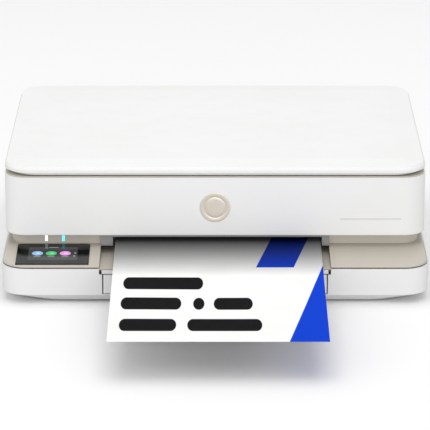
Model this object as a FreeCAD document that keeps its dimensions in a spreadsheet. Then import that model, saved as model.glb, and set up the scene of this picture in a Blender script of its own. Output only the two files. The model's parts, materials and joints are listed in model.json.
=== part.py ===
import FreeCAD, Part
import math
import os
import re

import Sketcher
from FreeCAD import Placement, Rotation, Vector

# Inkjet printer with a flatbed scanner on top. Millimetres, +X to the right, +Y to the rear, +Z up.
# The origin is the middle of the footprint, on the surface the printer stands on.

SIZES = {
    # whole machine
    "overall_width": 434.0, "overall_depth": 361.0, "corner_radius": 25.0,
    "foot_height": 1.6, "foot_radius": 8.0, "foot_inset": 30.0,
    "wall": 2.5, "gap": 0.3, "running_fit": 0.05, "slide_gap": 0.1, "seam": 1.0,
    # white base
    "base_top": 37.0, "base_taper": 1.0, "bevel": 7.4, "sole_radius": 52.0,
    "floor_top": 4.0, "floor_inset": 12.0,
    "tray_opening_half": 114.0, "tray_opening_low": 9.8, "tray_opening_high": 31.0,
    # coloured deck with its sloped front panel and raised neck
    "deck_inset": 1.0, "deck_taper": 2.8, "deck_top": 45.4, "panel_front_top": 38.6,
    "panel_depth": 58.0, "neck_inset": 8.0, "neck_radius": 18.0, "neck_top": 56.0,
    "neck_rear_gap": 12.5, "slot_half": 117.0, "slot_depth": 80.5, "slot_floor_low": 36.0,
    "bay_inset": 25.0, "bay_front": 68.5, "bay_rear": 15.5,
    # scanner unit
    "body_inset": 2.0, "body_front": 48.0, "body_rear_gap": 1.0, "body_low": 56.4,
    "body_high": 118.4, "body_radius": 22.0, "body_wall": 2.6,
    "pan_low": 93.0, "pan_high": 116.0, "pan_wall": 2.0, "pan_rear_gap": 12.5,
    "bezel_high": 119.6, "window_half": 150.0, "window_front": 100.5, "window_length": 220.0,
    "glass_lap": 3.0, "glass_thick": 2.8, "glass_overhang": 8.0,
    "hinge_back": 4.5, "hinge_height": 58.4, "hinge_x": 150.0, "hinge_pin": 2.5,
    "emblem_radius": 15.6, "emblem_height": 87.0,
    # lid
    "lid_low": 120.6, "lid_edge": 129.6, "lid_high": 131.4, "lid_radius": 27.5, "lid_skin": 2.2,
    "lid_chamfer": 3.0, "lid_under_radius": 31.0, "lid_rim": 4.5,
    "lid_round": 3.0, "lid_hinge_height": 125.0, "lid_pin": 1.5,
    # display and lights
    "display_x": 165.0, "display_wide": 74.0, "display_deep": 49.0, "display_thick": 2.0,
    "display_back": 27.0, "light_high": 6.0, "light_wide": 2.6, "power_light_x": 173.0,
    "wireless_light_x": 155.6,
    # paper tray
    "tray_half": 112.0, "tray_low": 10.2, "tray_floor_top": 12.0, "tray_high": 27.0,
    "tray_wall": 2.0, "tray_front_gap": 4.5, "tray_length": 301.0, "tray_face_low": 10.4,
    "tray_face_high": 30.4, "guide_half": 105.0, "guide_wall": 2.0, "guide_high": 26.0,
    "guide_back": 200.5, "guide_length": 60.0, "arm_high": 13.7, "pinion_back": 230.5,
    "stop_back": 297.0, "stop_plate_top": 13.2,
    # gears
    "gear_module": 0.8, "gear_width": 5.0, "backlash": 0.15, "feed_teeth": 36.0,
    "idler_teeth": 40.0, "exit_teeth": 30.0, "motor_teeth": 12.0, "width_teeth": 16.0,
    # paper path
    "feed_back": 147.5, "roller_height": 46.0, "feed_radius": 6.0, "shaft_radius": 4.0,
    "exit_radius": 5.0, "pinch_radius": 3.0, "star_radius": 4.0, "star_pin": 1.0,
    "paper_height": 51.1, "paper_thick": 0.1, "platen_front": 104.0, "platen_rear": 134.0,
    "side_leg": 116.0, "leg_thick": 2.0, "guide_plate_top": 50.5, "guide_front": 160.5,
    "guide_rear": 304.5, "turn_back": 320.5, "turn_height": 38.0, "turn_radius": 13.0,
    "turn_guide_in": 16.0, "turn_guide_out": 18.0, "pick_pivot_back": 240.5,
    "pick_pivot_height": 38.0, "pick_back": 280.5, "pick_height": 21.6, "pick_radius": 8.0,
    # print engine
    "side_plate_gap": 27.0, "sheet_metal": 1.5, "plate_back": 180.5, "plate_low": 40.0,
    "plate_high": 88.0, "side_plate_front": 70.5, "rod_back": 166.5, "rod_height": 64.0,
    "rod_radius": 4.0, "carriage_wide": 52.0, "carriage_front": 99.0, "carriage_deep": 59.5,
    "carriage_low": 53.5, "carriage_high": 88.0, "carriage_park": 34.0, "belt_back": 174.5,
    "belt_height": 77.0, "belt_wide": 5.0, "belt_thick": 1.2, "pulley_radius": 5.0,
    "pulley_in": 45.0, "idler_in": 37.0, "motor_radius": 13.0, "feed_motor_radius": 12.0,
    "station_in": 32.0, "station_wide": 54.0, "station_front": 97.5, "station_deep": 41.0,
    "station_high": 46.0, "cap_high": 51.0,
    # electrics
    "supply_in": 17.0, "supply_wide": 70.0, "supply_rear": 30.5, "supply_deep": 110.0,
    "supply_high": 41.0, "board_in": 17.0, "board_wide": 75.0, "board_rear": 14.0,
    "board_deep": 120.0, "board_low": 11.2, "board_thick": 1.6,
    "inlet_x": 165.0, "inlet_wide": 24.0, "inlet_low": 14.0, "inlet_high": 30.0,
    "usb_in": 73.0, "usb_wide": 13.0, "usb_high": 23.0, "button_radius": 5.0,
    "button_height": 22.0, "power_button_in": 33.0, "wireless_button_in": 50.0,
    # output extender
    "extender_half": 114.5, "extender_low": 31.8, "extender_high": 35.6, "extender_length": 140.0,
    "stop_half": 40.0,
    # printed sheet
    "paper_wide": 210.0, "paper_long": 297.0, "paper_shift": 3.0, "paper_rear": 84.5,
    "paper_fall": 12.8,
    # scanner head
    "scan_front": 101.5, "scan_long": 218.0, "scan_wide": 22.0, "scan_low": 97.0,
    "scan_high": 112.5, "scan_park": 146.0, "scan_rod_back": 212.5, "scan_rod_height": 100.5,
    "scan_rod_radius": 3.0, "scan_teeth": 12.0, "scan_gear_back": 226.5, "scan_gear_height": 102.0,
}

doc = FreeCAD.newDocument("inkjet_printer")
dims = doc.addObject("Spreadsheet::Sheet", "dims")
for row, (word, number) in enumerate(SIZES.items(), start=1):
    dims.set("A%d" % row, str(number))
    dims.setAlias("A%d" % row, word)

# lines of the gear train follow from the tooth counts, so the wheels always mesh
TRAIN = {
    "idler_line": "=feed_back - (feed_teeth + idler_teeth) * gear_module / 2 - backlash",
    "exit_line": "=idler_line - (exit_teeth + idler_teeth) * gear_module / 2 - backlash",
    "motor_reach": "=(feed_teeth + motor_teeth) * gear_module / 2 + backlash",
    "motor_line": "=feed_back + motor_reach * cos(45)",
    "motor_line_height": "=roller_height - motor_reach * sin(45)",
}
for row, (word, formula) in enumerate(TRAIN.items(), start=len(SIZES) + 1):
    dims.set("A%d" % row, formula)
    dims.setAlias("A%d" % row, word)
doc.recompute()

parts = []


# ---------------------------------------------------------------- helpers

def named(formula):
    """Turn every size name in a formula into a reference to the sheet."""
    pattern = r"[a-z][a-z_]*[a-z]"
    known = set(SIZES) | set(TRAIN)
    return re.sub(pattern, lambda m: "dims." + m[0] if m[0] in known else m[0], str(formula))


def size(name):
    """The number now in the sheet, for shapes that are worked out by formula."""
    return float(getattr(dims, name))


def front(distance):
    """Y of a plane this far behind the foremost edge."""
    return "(%s - overall_depth / 2)" % distance


def rear(distance):
    """Y of a plane this far in front of the rearmost edge."""
    return "(overall_depth / 2 - (%s))" % distance


def side(distance):
    """X of a plane this far in from the right-hand edge."""
    return "(overall_width / 2 - (%s))" % distance


def minus(formula):
    return "(-(%s))" % formula


def both(formula):
    """A span running equally to both sides of the middle."""
    return (minus(formula), formula)


def around(centre, half):
    return ("%s - (%s)" % (centre, half), "%s + (%s)" % (centre, half))


def bind(item, path, formula):
    item.setExpression(path, named(formula))


def new_body(label):
    body = doc.addObject("PartDesign::Body", label)
    body.Label = label
    parts.append(body)
    return body


def origin_plane(body, role):
    return [item for item in body.Origin.OriginFeatures if item.Role == role][0]


def check_cut(body, name, before):
    """Stop when a cut has taken nothing away."""
    doc.recompute()
    if body.Shape.isNull() or not 0.01 < before - body.Shape.Volume < before:
        raise RuntimeError("cut %s did not take a part of the body" % name)


def volume_now(body):
    doc.recompute()
    return body.Shape.Volume


def box(body, name, x, y, z, cut=False, tilt=None):
    """A box feature between two planes on each axis; tilt turns it about X at its corner."""
    before = volume_now(body) if cut else 0.0
    kind = "PartDesign::SubtractiveBox" if cut else "PartDesign::AdditiveBox"
    item = body.newObject(kind, name)
    for letter, prop, span in (("x", "Length", x), ("y", "Width", y), ("z", "Height", z)):
        bind(item, prop, "(%s) - (%s)" % (span[1], span[0]))
        bind(item, "Placement.Base." + letter, span[0])
    if tilt:
        item.Placement = Placement(Vector(), Rotation(Vector(1, 0, 0), 1))
        bind(item, "Placement.Rotation.Angle", tilt)
    if cut:
        check_cut(body, name, before)
    return item


TURN = {"x": Rotation(Vector(0, 1, 0), 90), "y": Rotation(Vector(1, 0, 0), -90), "z": Rotation()}


def rod(body, name, axis, centre, radius, span, cut=False):
    """A round feature along an axis; centre gives the two other coordinates in x, y, z order."""
    before = volume_now(body) if cut else 0.0
    kind = "PartDesign::SubtractiveCylinder" if cut else "PartDesign::AdditiveCylinder"
    item = body.newObject(kind, name)
    item.Placement = Placement(Vector(), TURN[axis])
    bind(item, "Radius", radius)
    bind(item, "Height", "(%s) - (%s)" % (span[1], span[0]))
    others = [letter for letter in "xyz" if letter != axis]
    bind(item, "Placement.Base." + axis, span[0])
    bind(item, "Placement.Base." + others[0], centre[0])
    bind(item, "Placement.Base." + others[1], centre[1])
    if cut:
        check_cut(body, name, before)
    return item


def wedge(body, name, y, start, end, cut=False):
    """A block along Y whose x and z spans change from start to end."""
    before = volume_now(body) if cut else 0.0
    kind = "PartDesign::SubtractiveWedge" if cut else "PartDesign::AdditiveWedge"
    item = body.newObject(kind, name)
    values = (("Ymin", y[0]), ("Ymax", y[1]), ("Xmin", start[0][0]), ("Xmax", start[0][1]),
              ("Zmin", start[1][0]), ("Zmax", start[1][1]), ("X2min", end[0][0]),
              ("X2max", end[0][1]), ("Z2min", end[1][0]), ("Z2max", end[1][1]))
    for prop, formula in values:
        bind(item, prop, formula)
    if cut:
        check_cut(body, name, before)
    return item


def outline(body, name, x, y, z, radius):
    """A fully constrained rectangle with four round corners, at height z."""
    sketch = body.newObject("Sketcher::SketchObject", name)
    sketch.AttachmentSupport = (origin_plane(body, "XY_Plane"), [""])
    sketch.MapMode = "FlatFace"
    half_wide, half_deep, corner = 50.0, 40.0, 10.0
    a, b = half_wide - corner, half_deep - corner
    lines = (((-a, -half_deep), (a, -half_deep)), ((half_wide, -b), (half_wide, b)),
             ((a, half_deep), (-a, half_deep)), ((-half_wide, b), (-half_wide, -b)))
    for start, end in lines:
        sketch.addGeometry(Part.LineSegment(Vector(*start, 0), Vector(*end, 0)), False)
    for number, centre in enumerate(((a, -b), (a, b), (-a, b), (-a, -b))):
        circle = Part.Circle(Vector(*centre, 0), Vector(0, 0, 1), corner)
        first = math.pi / 2 * (number - 1)
        sketch.addGeometry(Part.ArcOfCircle(circle, first, first + math.pi / 2), False)
    for number in range(4):
        sketch.addConstraint(Sketcher.Constraint("Tangent", number, 2, 4 + number, 1))
        sketch.addConstraint(Sketcher.Constraint("Tangent", 4 + number, 2, (number + 1) % 4, 1))
        kind = "Vertical" if number % 2 else "Horizontal"
        sketch.addConstraint(Sketcher.Constraint(kind, number))
    for number in (5, 6, 7):
        sketch.addConstraint(Sketcher.Constraint("Equal", 4, number))
    sketch.addConstraint(Sketcher.Constraint("Symmetric", 0, 1, 2, 1, -1, 1))
    driven = (("radius", Sketcher.Constraint("Radius", 4, corner), radius),
              ("width", Sketcher.Constraint("DistanceX", 3, 1, 1, 1, 2 * half_wide),
               "(%s) - (%s)" % (x[1], x[0])),
              ("depth", Sketcher.Constraint("DistanceY", 0, 1, 2, 1, 2 * half_deep),
               "(%s) - (%s)" % (y[1], y[0])))
    for word, constraint, formula in driven:
        sketch.renameConstraint(sketch.addConstraint(constraint), word)
        bind(sketch, "Constraints." + word, formula)
    bind(sketch, "AttachmentOffset.Base.x", "((%s) + (%s)) / 2" % (x[0], x[1]))
    bind(sketch, "AttachmentOffset.Base.y", "((%s) + (%s)) / 2" % (y[0], y[1]))
    bind(sketch, "AttachmentOffset.Base.z", z)
    return sketch


def plate(body, name, x, y, z, radius, cut=False):
    """A plate or pocket with round corners between two heights."""
    before = volume_now(body) if cut else 0.0
    sketch = outline(body, name + "_outline", x, y, z[1] if cut else z[0], radius)
    item = body.newObject("PartDesign::Pocket" if cut else "PartDesign::Pad", name)
    item.Profile = sketch
    bind(item, "Length", "(%s) - (%s)" % (z[1], z[0]))
    if cut:
        check_cut(body, name, before)
    return item


def drafted(body, name, low, high, cut=False):
    """A block with sloping sides; low and high are each (x, y, z, radius)."""
    before = volume_now(body) if cut else 0.0
    first = outline(body, name + "_low", low[0], low[1], low[2], low[3])
    second = outline(body, name + "_high", high[0], high[1], high[2], high[3])
    kind = "PartDesign::SubtractiveLoft" if cut else "PartDesign::AdditiveLoft"
    item = body.newObject(kind, name)
    item.Profile = first
    item.Sections = [second]
    item.Ruled = True
    if cut:
        check_cut(body, name, before)
    return item


def soften(body, name, amount, pick, kind="Fillet"):
    """Round (or chamfer) every edge that pick accepts."""
    doc.recompute()
    base = body.Tip
    names = ["Edge%d" % (i + 1) for i, edge in enumerate(base.Shape.Edges) if pick(edge)]
    if not names:
        raise RuntimeError("no edge found for " + name)
    item = body.newObject("PartDesign::" + kind, name)
    item.Base = (base, names)
    bind(item, "Radius" if kind == "Fillet" else "Size", amount)
    doc.recompute()
    return item


def at_height(height):
    """Pick the edges that lie in the level plane at this height."""
    return lambda edge: abs(edge.BoundBox.ZMin - height) < 0.01 and edge.BoundBox.ZLength < 0.01


def upright(near, low, high):
    """Pick edges standing on their end, within reach of (x, y), between two heights."""
    def pick(edge):
        bounds = edge.BoundBox
        if bounds.XLength > 0.01 or bounds.YLength > 0.01 or bounds.ZLength < 0.5:
            return False
        if bounds.ZMin < low - 0.01 or bounds.ZMax > high + 0.01:
            return False
        return any(math.hypot(bounds.XMin - x, bounds.YMin - y) < reach for x, y, reach in near)
    return pick


def involute_wire(teeth, module, clearance=0.0):
    """Gear outline: every flank an arc through three points of the involute."""
    pitch = teeth * module / 2
    base = pitch * math.cos(math.radians(20))
    tip = pitch + module
    root = pitch - 1.25 * module
    inv20 = math.tan(math.radians(20)) - math.radians(20)
    half_pitch_angle = math.pi / (2 * teeth) - clearance / pitch

    def flank(radius):
        roll = math.acos(min(1.0, base / radius))
        return half_pitch_angle + inv20 - (math.tan(roll) - roll)

    low = max(base, root + 0.01)
    middle = (low + tip) / 2

    def point(radius, angle):
        return Vector(radius * math.cos(angle), radius * math.sin(angle), 0)

    edges = []
    step = 2 * math.pi / teeth
    for tooth in range(int(teeth)):
        turn = tooth * step
        rise = [point(r, turn - flank(r)) for r in (low, middle, tip)]
        fall = [point(r, turn + flank(r)) for r in (tip, middle, low)]
        foot_in = point(root, turn - flank(low))
        foot_out = point(root, turn + flank(low))
        next_foot = point(root, turn + step - flank(low))
        edges.append(Part.LineSegment(foot_in, rise[0]).toShape())
        edges.append(Part.Arc(*rise).toShape())
        edges.append(Part.Arc(rise[2], point(tip, turn), fall[0]).toShape())
        edges.append(Part.Arc(*fall).toShape())
        edges.append(Part.LineSegment(fall[2], foot_out).toShape())
        edges.append(Part.Arc(foot_out, point(root, turn + step / 2), next_foot).toShape())
    return Part.Wire(edges)


def gear_solid(teeth, width, bore):
    """A spur gear standing on XY, tooth towards +X, with a round bore."""
    face = Part.Face(involute_wire(teeth, size("gear_module"), 0.05))
    solid = face.extrude(Vector(0, 0, width))
    if bore > 0:
        solid = solid.cut(Part.makeCylinder(bore, width + 2, Vector(0, 0, -1)))
    return solid


def rack_solid(length, height, width):
    """A rack along X with its teeth towards +Y, pitch line on Y = 0, centred on a tooth space."""
    module = size("gear_module")
    pitch = math.pi * module
    lean = math.tan(math.radians(20))
    count = int(length / 2 / pitch)
    points = [Vector(-length / 2, -1.25 * module, 0)]
    for tooth in range(-count, count):
        middle = (tooth + 0.5) * pitch
        half_foot = pitch / 4 - 0.05 + 1.25 * module * lean
        half_tip = pitch / 4 - 0.05 - module * lean
        points.append(Vector(middle - half_foot, -1.25 * module, 0))
        points.append(Vector(middle - half_tip, module, 0))
        points.append(Vector(middle + half_tip, module, 0))
        points.append(Vector(middle + half_foot, -1.25 * module, 0))
    points.append(Vector(length / 2, -1.25 * module, 0))
    points.append(Vector(length / 2, -height, 0))
    points.append(Vector(-length / 2, -height, 0))
    face = Part.Face(Part.makePolygon(points + points[:1]))
    return face.extrude(Vector(0, 0, width))


def new_feature(label, shape, place, moves=()):
    """A shape worked out by formula, placed by the sheet."""
    item = doc.addObject("Part::Feature", label)
    item.Label = label
    item.Shape = shape
    item.Placement = place
    for letter, formula in moves:
        bind(item, "Placement.Base." + letter, formula)
    parts.append(item)
    return item


def join(label, first, second):
    """Two shapes moulded or pressed into one piece."""
    item = doc.addObject("Part::Fuse", label)
    item.Label = label
    item.Base = first
    item.Tool = second
    parts.remove(first)
    parts.remove(second)
    parts.append(item)
    return item


HALF = "overall_width / 2"
SHELL_X = both(HALF + " - body_inset")
SHELL_Y = (front("body_front"), rear("body_rear_gap"))
PLATE_X = side("side_plate_gap")
PANEL_RISE = "(deck_top - panel_front_top) / panel_depth"
PANEL_TILT = "atan(%s)" % PANEL_RISE
DISPLAY_EDGE = "(panel_depth - display_back - display_deep / 2 - 0.15)"
DISPLAY_BED = "(panel_front_top + %s * %s - 1.2)" % (DISPLAY_EDGE, PANEL_RISE)
HINGE_Y = rear("hinge_back")
CARRIAGE_X = side("carriage_park + carriage_wide")


# ---------------------------------------------------------------- lower housing

def make_base_housing():
    body = new_body("base_housing")
    taper = "base_taper"
    low_x, low_y = both(HALF + " - " + taper), (front(taper), rear(taper))
    high_x, high_y = both(HALF), (front("0"), rear("0"))
    inset = taper + " + bevel"
    bevel_top = (low_x, low_y, "foot_height + bevel", "corner_radius - base_taper")
    drafted(body, "underside_bevel",
            (both("%s - (%s)" % (HALF, inset)), (front(inset), rear(inset)), "foot_height",
             "sole_radius"), bevel_top)
    drafted(body, "outer", bevel_top, (high_x, high_y, "base_top", "corner_radius"))
    in_low = both(HALF + " - base_taper - wall")
    in_high = both(HALF + " - wall")
    drafted(body, "hollow",
            (in_low, (front("base_taper + wall"), rear("base_taper + wall")),
             "foot_height + bevel", "corner_radius - base_taper - wall"),
            (in_high, (front("wall"), rear("wall")), "base_top", "corner_radius - wall"), True)
    plate(body, "floor_pocket", both(HALF + " - floor_inset"),
          (front("floor_inset"), rear("floor_inset")), ("floor_top", "foot_height + bevel + 0.1"),
          "sole_radius - 16", True)
    box(body, "tray_opening", both("tray_opening_half"), (front("-1"), front("floor_inset - 1")),
        ("tray_opening_low", "tray_opening_high"), True)
    box(body, "extender_opening", both("slot_half"), (front("-1"), front("floor_inset - 1")),
        ("tray_opening_high - 0.1", "base_top + 1"), True)
    for number, hand in enumerate((-1, 1)):
        rail = ("%d * 104 - 4" % hand, "%d * 104 + 4" % hand)
        box(body, "tray_rail_%d" % number, rail, (front("floor_inset"), front("tray_length - 5")),
            ("floor_top", "tray_low - slide_gap"))
    for number, hand in enumerate((-1, 1)):
        shelf = ("%d * (%s - wall - 4) - 4.2" % (hand, HALF), "%d * (%s - wall - 4) + 4.2" % (hand, HALF))
        box(body, "deck_ledge_%d" % number, shelf, (front("70"), rear("40")),
            ("base_top - 9", "base_top - 4"))
    for number in range(4):
        inner, outer = side("board_in + board_wide - 6"), side("board_in + 6")
        near, far = rear("board_rear + board_deep - 8"), rear("board_rear + 8")
        x = inner if number % 2 else outer
        y = near if number < 2 else far
        rod(body, "board_post_%d" % number, "z", (x, y), "3.5", ("floor_top", "board_low"))
    box(body, "inlet_opening", around("-inlet_x", "inlet_wide / 2"), (rear("floor_inset"), rear("-1")),
        ("inlet_low", "inlet_high"), True)
    box(body, "usb_opening", around(side("usb_in"), "usb_wide / 2 + gap"),
        (rear("floor_inset"), rear("-1")), ("board_low + board_thick - 0.3", "usb_high + gap"), True)
    for word in ("power", "wireless"):
        rod(body, word + "_button_hole", "y", (side(word + "_button_in"), "button_height"),
            "button_radius + gap", (rear("floor_inset"), rear("-1")), True)
    for hand_x in (-1, 1):
        for number, y in enumerate((front("30"), rear("25"))):
            name = "%s_%d" % ("left" if hand_x < 0 else "right", number)
            centre = ("%d * 123.5" % hand_x, y)
            rod(body, "screw_boss_" + name, "z", centre, "3.5", ("floor_top", "board_low - 0.3"))
            rod(body, "screw_bore_" + name, "z", centre, "1.4", ("foot_height - 1", "board_low - 1"),
                True)
            rod(body, "screw_seat_" + name, "z", centre, "3.2", ("foot_height - 1", "3"), True)
    for number in range(8):
        x = "(%d - 3.5) * 9" % number
        box(body, "rear_vent_%d" % number, around(x, "2"), (rear("floor_inset"), rear("-1")),
            ("18", "30"), True)


def make_rubber_feet():
    body = new_body("rubber_feet")
    rod(body, "middle_foot", "z", ("0", "0"), "foot_radius", ("0", "foot_height"))
    number = 0
    for x in (side("foot_inset"), minus(side("foot_inset"))):
        for y in (front("foot_inset"), rear("foot_inset")):
            rod(body, "corner_foot_%d" % number, "z", (x, y), "foot_radius", ("0", "foot_height"))
            number += 1


def make_deck_housing():
    body = new_body("deck_housing")
    inset, low = "deck_inset", "base_top + seam"
    top = "deck_inset + deck_taper"
    drafted(body, "skirt",
            (both(HALF + " - deck_inset"), (front(inset), rear(inset)), low, "corner_radius"),
            (both("%s - (%s)" % (HALF, top)), (front(inset), rear(top)), "deck_top",
             "corner_radius"))
    wedge(body, "front_slope", (front("0"), front("panel_depth")),
          (both(HALF + " + 1"), ("panel_front_top", "neck_top + 20")),
          (both(HALF + " + 1"), ("deck_top", "neck_top + 20")), True)
    neck_x = both(HALF + " - neck_inset")
    neck_y = (front("panel_depth"), rear("neck_rear_gap"))
    plate(body, "neck", neck_x, neck_y, ("deck_top - 1", "neck_top"), "neck_radius")
    soften(body, "neck_shoulder", "1.2", at_height(size("neck_top")))
    plate(body, "rear_hollow", both(HALF + " - 6"), (front("panel_depth + wall"), rear("8")),
          ("base_top", "deck_top - wall"), "corner_radius - 6", True)
    plate(body, "neck_hollow", both(HALF + " - neck_inset - wall"),
          (front("panel_depth + wall"), rear("neck_rear_gap + wall")),
          ("deck_top - wall - 1", "neck_top - wall"), "neck_radius - wall", True)
    for number, x in enumerate(((minus(HALF + " - 6"), "-slot_half - 5"),
                                ("slot_half + 5", HALF + " - 6"))):
        wedge(body, "panel_hollow_%d" % number, (front("20"), front("panel_depth")),
              (x, ("base_top", "panel_front_top + 20 * %s - 2.2" % PANEL_RISE)),
              (x, ("base_top", "deck_top - 2.2")), True)
    box(body, "seat_left", (minus(HALF + " - deck_inset - 3"), minus(HALF + " - deck_inset - 8")),
        (front("70"), rear("40")), ("base_top - 4", "deck_top - wall"))
    box(body, "seat_right", (HALF + " - deck_inset - 8", HALF + " - deck_inset - 3"),
        (front("70"), rear("40")), ("base_top - 4", "deck_top - wall"))
    plate(body, "engine_bay", (minus(HALF + " - 16"), HALF + " - bay_inset + 1"),
          (front("bay_front"), rear("bay_rear")), ("neck_top - wall - 1", "neck_top + 1"), "6", True)
    box(body, "paper_slot", both("slot_half"), (front("-1"), front("slot_depth")),
        ("base_top", "neck_top + 1"), True)
    for number, hand in enumerate(("-1", "1")):
        x = ("%s * (slot_half + 1.1) - 1.1" % hand, "%s * (slot_half + 1.1) + 1.1" % hand)
        box(body, "slot_cheek_%d" % number, x, (front("panel_depth"), front("slot_depth")),
            ("slot_floor_low", "neck_top - wall"))
    box(body, "slot_floor", both("slot_half"), (front("deck_inset"), front("slot_depth")),
        ("slot_floor_low", "base_top"))
    for number, x in enumerate((("-slot_half", "-extender_half - 0.2"),
                                ("extender_half + 0.2", "slot_half"))):
        box(body, "runner_%d" % number, x, (front("10"), front("slot_depth")),
            ("extender_low - 0.9", "slot_floor_low + 0.1"))
    for number, x in enumerate((("-slot_half", "-extender_half + 3"),
                                ("extender_half - 3", "slot_half"))):
        box(body, "runner_lip_%d" % number, x, (front("10"), front("slot_depth")),
            ("extender_low - 0.9", "extender_low - slide_gap"))
    box(body, "display_pocket",
        around("-display_x", "display_wide / 2 + 0.15"),
        (front(DISPLAY_EDGE), front(DISPLAY_EDGE + " + display_deep + 0.3")),
        (DISPLAY_BED, DISPLAY_BED + " + 12"), True, PANEL_TILT)
    for number, hand in enumerate((-1, 1)):
        x = around("%d * hinge_x" % hand, "5")
        box(body, "hinge_post_%d" % number, x,
            (rear("neck_rear_gap - 0.5"), rear("deck_inset + deck_taper")),
            ("deck_top - 1", "hinge_height"))
        rod(body, "hinge_eye_%d" % number, "x", (HINGE_Y, "hinge_height"), "4.2", x)
    rod(body, "hinge_bores", "x", (HINGE_Y, "hinge_height"), "hinge_pin + running_fit",
        both("hinge_x + 20"), True)
    for word in ("power", "wireless"):
        box(body, word + "_light_window", around("-%s_light_x" % word, "light_wide / 2"),
            (front("panel_depth - 1"), front("panel_depth + wall + 1")),
            around("(deck_top + neck_top) / 2", "light_high / 2"), True)


# ---------------------------------------------------------------- print engine

def make_chassis_frame():
    body = new_body("chassis_frame")
    outer = PLATE_X + " + sheet_metal"
    back = (front("plate_back"), front("plate_back + sheet_metal"))
    box(body, "back_plate", both(outer), back, ("plate_low", "plate_high"))
    for number, x in enumerate(((minus(outer), minus(PLATE_X)), (PLATE_X, outer))):
        box(body, "side_plate_%d" % number, x, (front("side_plate_front"), back[1]),
            ("floor_top", "plate_high"))
    box(body, "paper_window", both("slot_half + 1"), (front("plate_back - 1"), front("plate_back + 3")),
        ("guide_plate_top - 4", "guide_plate_top + 5"), True)
    beyond = both(outer + " + 1")
    rod(body, "feed_bearing", "x", (front("feed_back"), "roller_height"),
        "shaft_radius + running_fit", beyond, True)
    rod(body, "exit_bearing", "x", (front("exit_line"), "roller_height"),
        "exit_radius - 2 + running_fit", beyond, True)
    left = (minus(outer + " + 1"), minus(PLATE_X + " - 1"))
    rod(body, "motor_bearing", "x", (front("motor_line"), "motor_line_height"), "2 + gap", left, True)
    rod(body, "idler_post", "x", (front("idler_line"), "roller_height"), "2",
        (minus(outer + " + gear_width + 2.5"), minus(PLATE_X)))
    rod(body, "drive_hole", "y", (side("pulley_in"), "belt_height"), "2 + gap",
        (front("plate_back - 1"), front("plate_back + 3")), True)
    for number in range(5):
        x = "(%d - 2) * (%s) * 0.36" % (number, PLATE_X)
        box(body, "lightening_%d" % number, around(x, "18"),
            (front("plate_back - 1"), front("plate_back + 3")), ("plate_high - 18", "plate_high - 8"),
            True)
    idler_x = minus(side("idler_in"))
    rod(body, "pulley_post", "y", (idler_x, "belt_height"), "1.5",
        (front("belt_back - belt_wide / 2 - 1.5"), front("plate_back + 0.5")))


def make_carriage_rod():
    body = new_body("carriage_rod")
    rod(body, "bar", "x", (front("rod_back"), "rod_height"), "rod_radius", both(PLATE_X))


def make_feed_rollers():
    body = new_body("feed_rollers")
    centre = (front("feed_back"), "roller_height")
    end = minus(PLATE_X + " + sheet_metal + gear_width + 2.5")
    rod(body, "shaft", "x", centre, "shaft_radius", (end, PLATE_X + " + sheet_metal + 2"))
    for number in range(5):
        x = "(%d - 2) * 44" % number
        rod(body, "sleeve_%d" % number, "x", centre, "feed_radius", around(x, "15"))
    return body


def make_exit_rollers():
    body = new_body("exit_rollers")
    centre = (front("exit_line"), "roller_height")
    end = minus(PLATE_X + " + sheet_metal + gear_width + 2.5")
    rod(body, "shaft", "x", centre, "exit_radius - 2", (end, PLATE_X + " + sheet_metal + 2"))
    for number in range(6):
        x = "(%d - 2.5) * 36" % number
        rod(body, "wheel_%d" % number, "x", centre, "exit_radius", around(x, "5"))
    return body


def make_pinch_rollers():
    body = new_body("pinch_rollers")
    height = "roller_height + feed_radius + pinch_radius + paper_thick"
    centre = (front("feed_back - 1.5"), height)
    rod(body, "pin", "x", centre, "1", both("110"))
    for number in range(5):
        x = "(%d - 2) * 44" % number
        rod(body, "roller_%d" % number, "x", centre, "pinch_radius", around(x, "12"))


def make_pinch_arm():
    body = new_body("pinch_arm")
    height = "roller_height + feed_radius + pinch_radius + paper_thick"
    line = front("feed_back - 1.5")
    far = front("plate_back")
    for number in range(6):
        x = around("(%d - 2.5) * 44" % number, "3")
        box(body, "finger_%d" % number, x, ("%s - 3" % line, far), (height + " - 2.5", height + " + 2.5"))
    box(body, "bridge", both("113"), ("%s - 6" % far, far), (height + " - 2.5", height + " + 2.5"))
    rod(body, "pin_bearing", "x", (line, height), "1 + running_fit", both("116"), True)


def make_star_wheels():
    body = new_body("star_wheels")
    centre = (front("exit_line"), "paper_height + paper_thick + gap + star_radius")
    rod(body, "pin", "x", centre, "star_pin", both("112"))
    for number in range(6):
        x = "(%d - 2.5) * 36" % number
        rod(body, "star_%d" % number, "x", centre, "star_radius", around(x, "1"))


def make_exit_frame():
    body = new_body("exit_frame")
    high = "paper_height + paper_thick + gap + star_radius"
    box(body, "beam", both("slot_half - 2"), (front("panel_depth - 4.5"), front("exit_line + 5.5")),
        ("neck_top - 2.6", "neck_top - 0.1"))
    right_leg = "paper_wide / 2 + paper_shift + 1.5"
    for number, x in enumerate((("-slot_half", "-slot_half + 12.4"), (right_leg, "slot_half"))):
        box(body, "leg_%d" % number, x, (front("panel_depth - 4.5"), front("panel_depth + 4.5")),
            ("deck_top - 1.4", "neck_top - 0.1"))
    for number in range(6):
        x = "(%d - 2.5) * 36" % number
        box(body, "star_window_%d" % number, around(x, "2"), around(front("exit_line"), "5"),
            ("neck_top - 3", "neck_top + 1"), True)
    for number in range(7):
        x = "(%d - 3) * 36" % number
        box(body, "lug_%d" % number, around(x, "2"), around(front("exit_line"), "2.6"),
            ("neck_top - 0.2", "neck_top + 2.5"))
    rod(body, "pin_bearing", "x", (front("exit_line"), high), "star_pin + running_fit",
        both("slot_half"), True)


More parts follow.
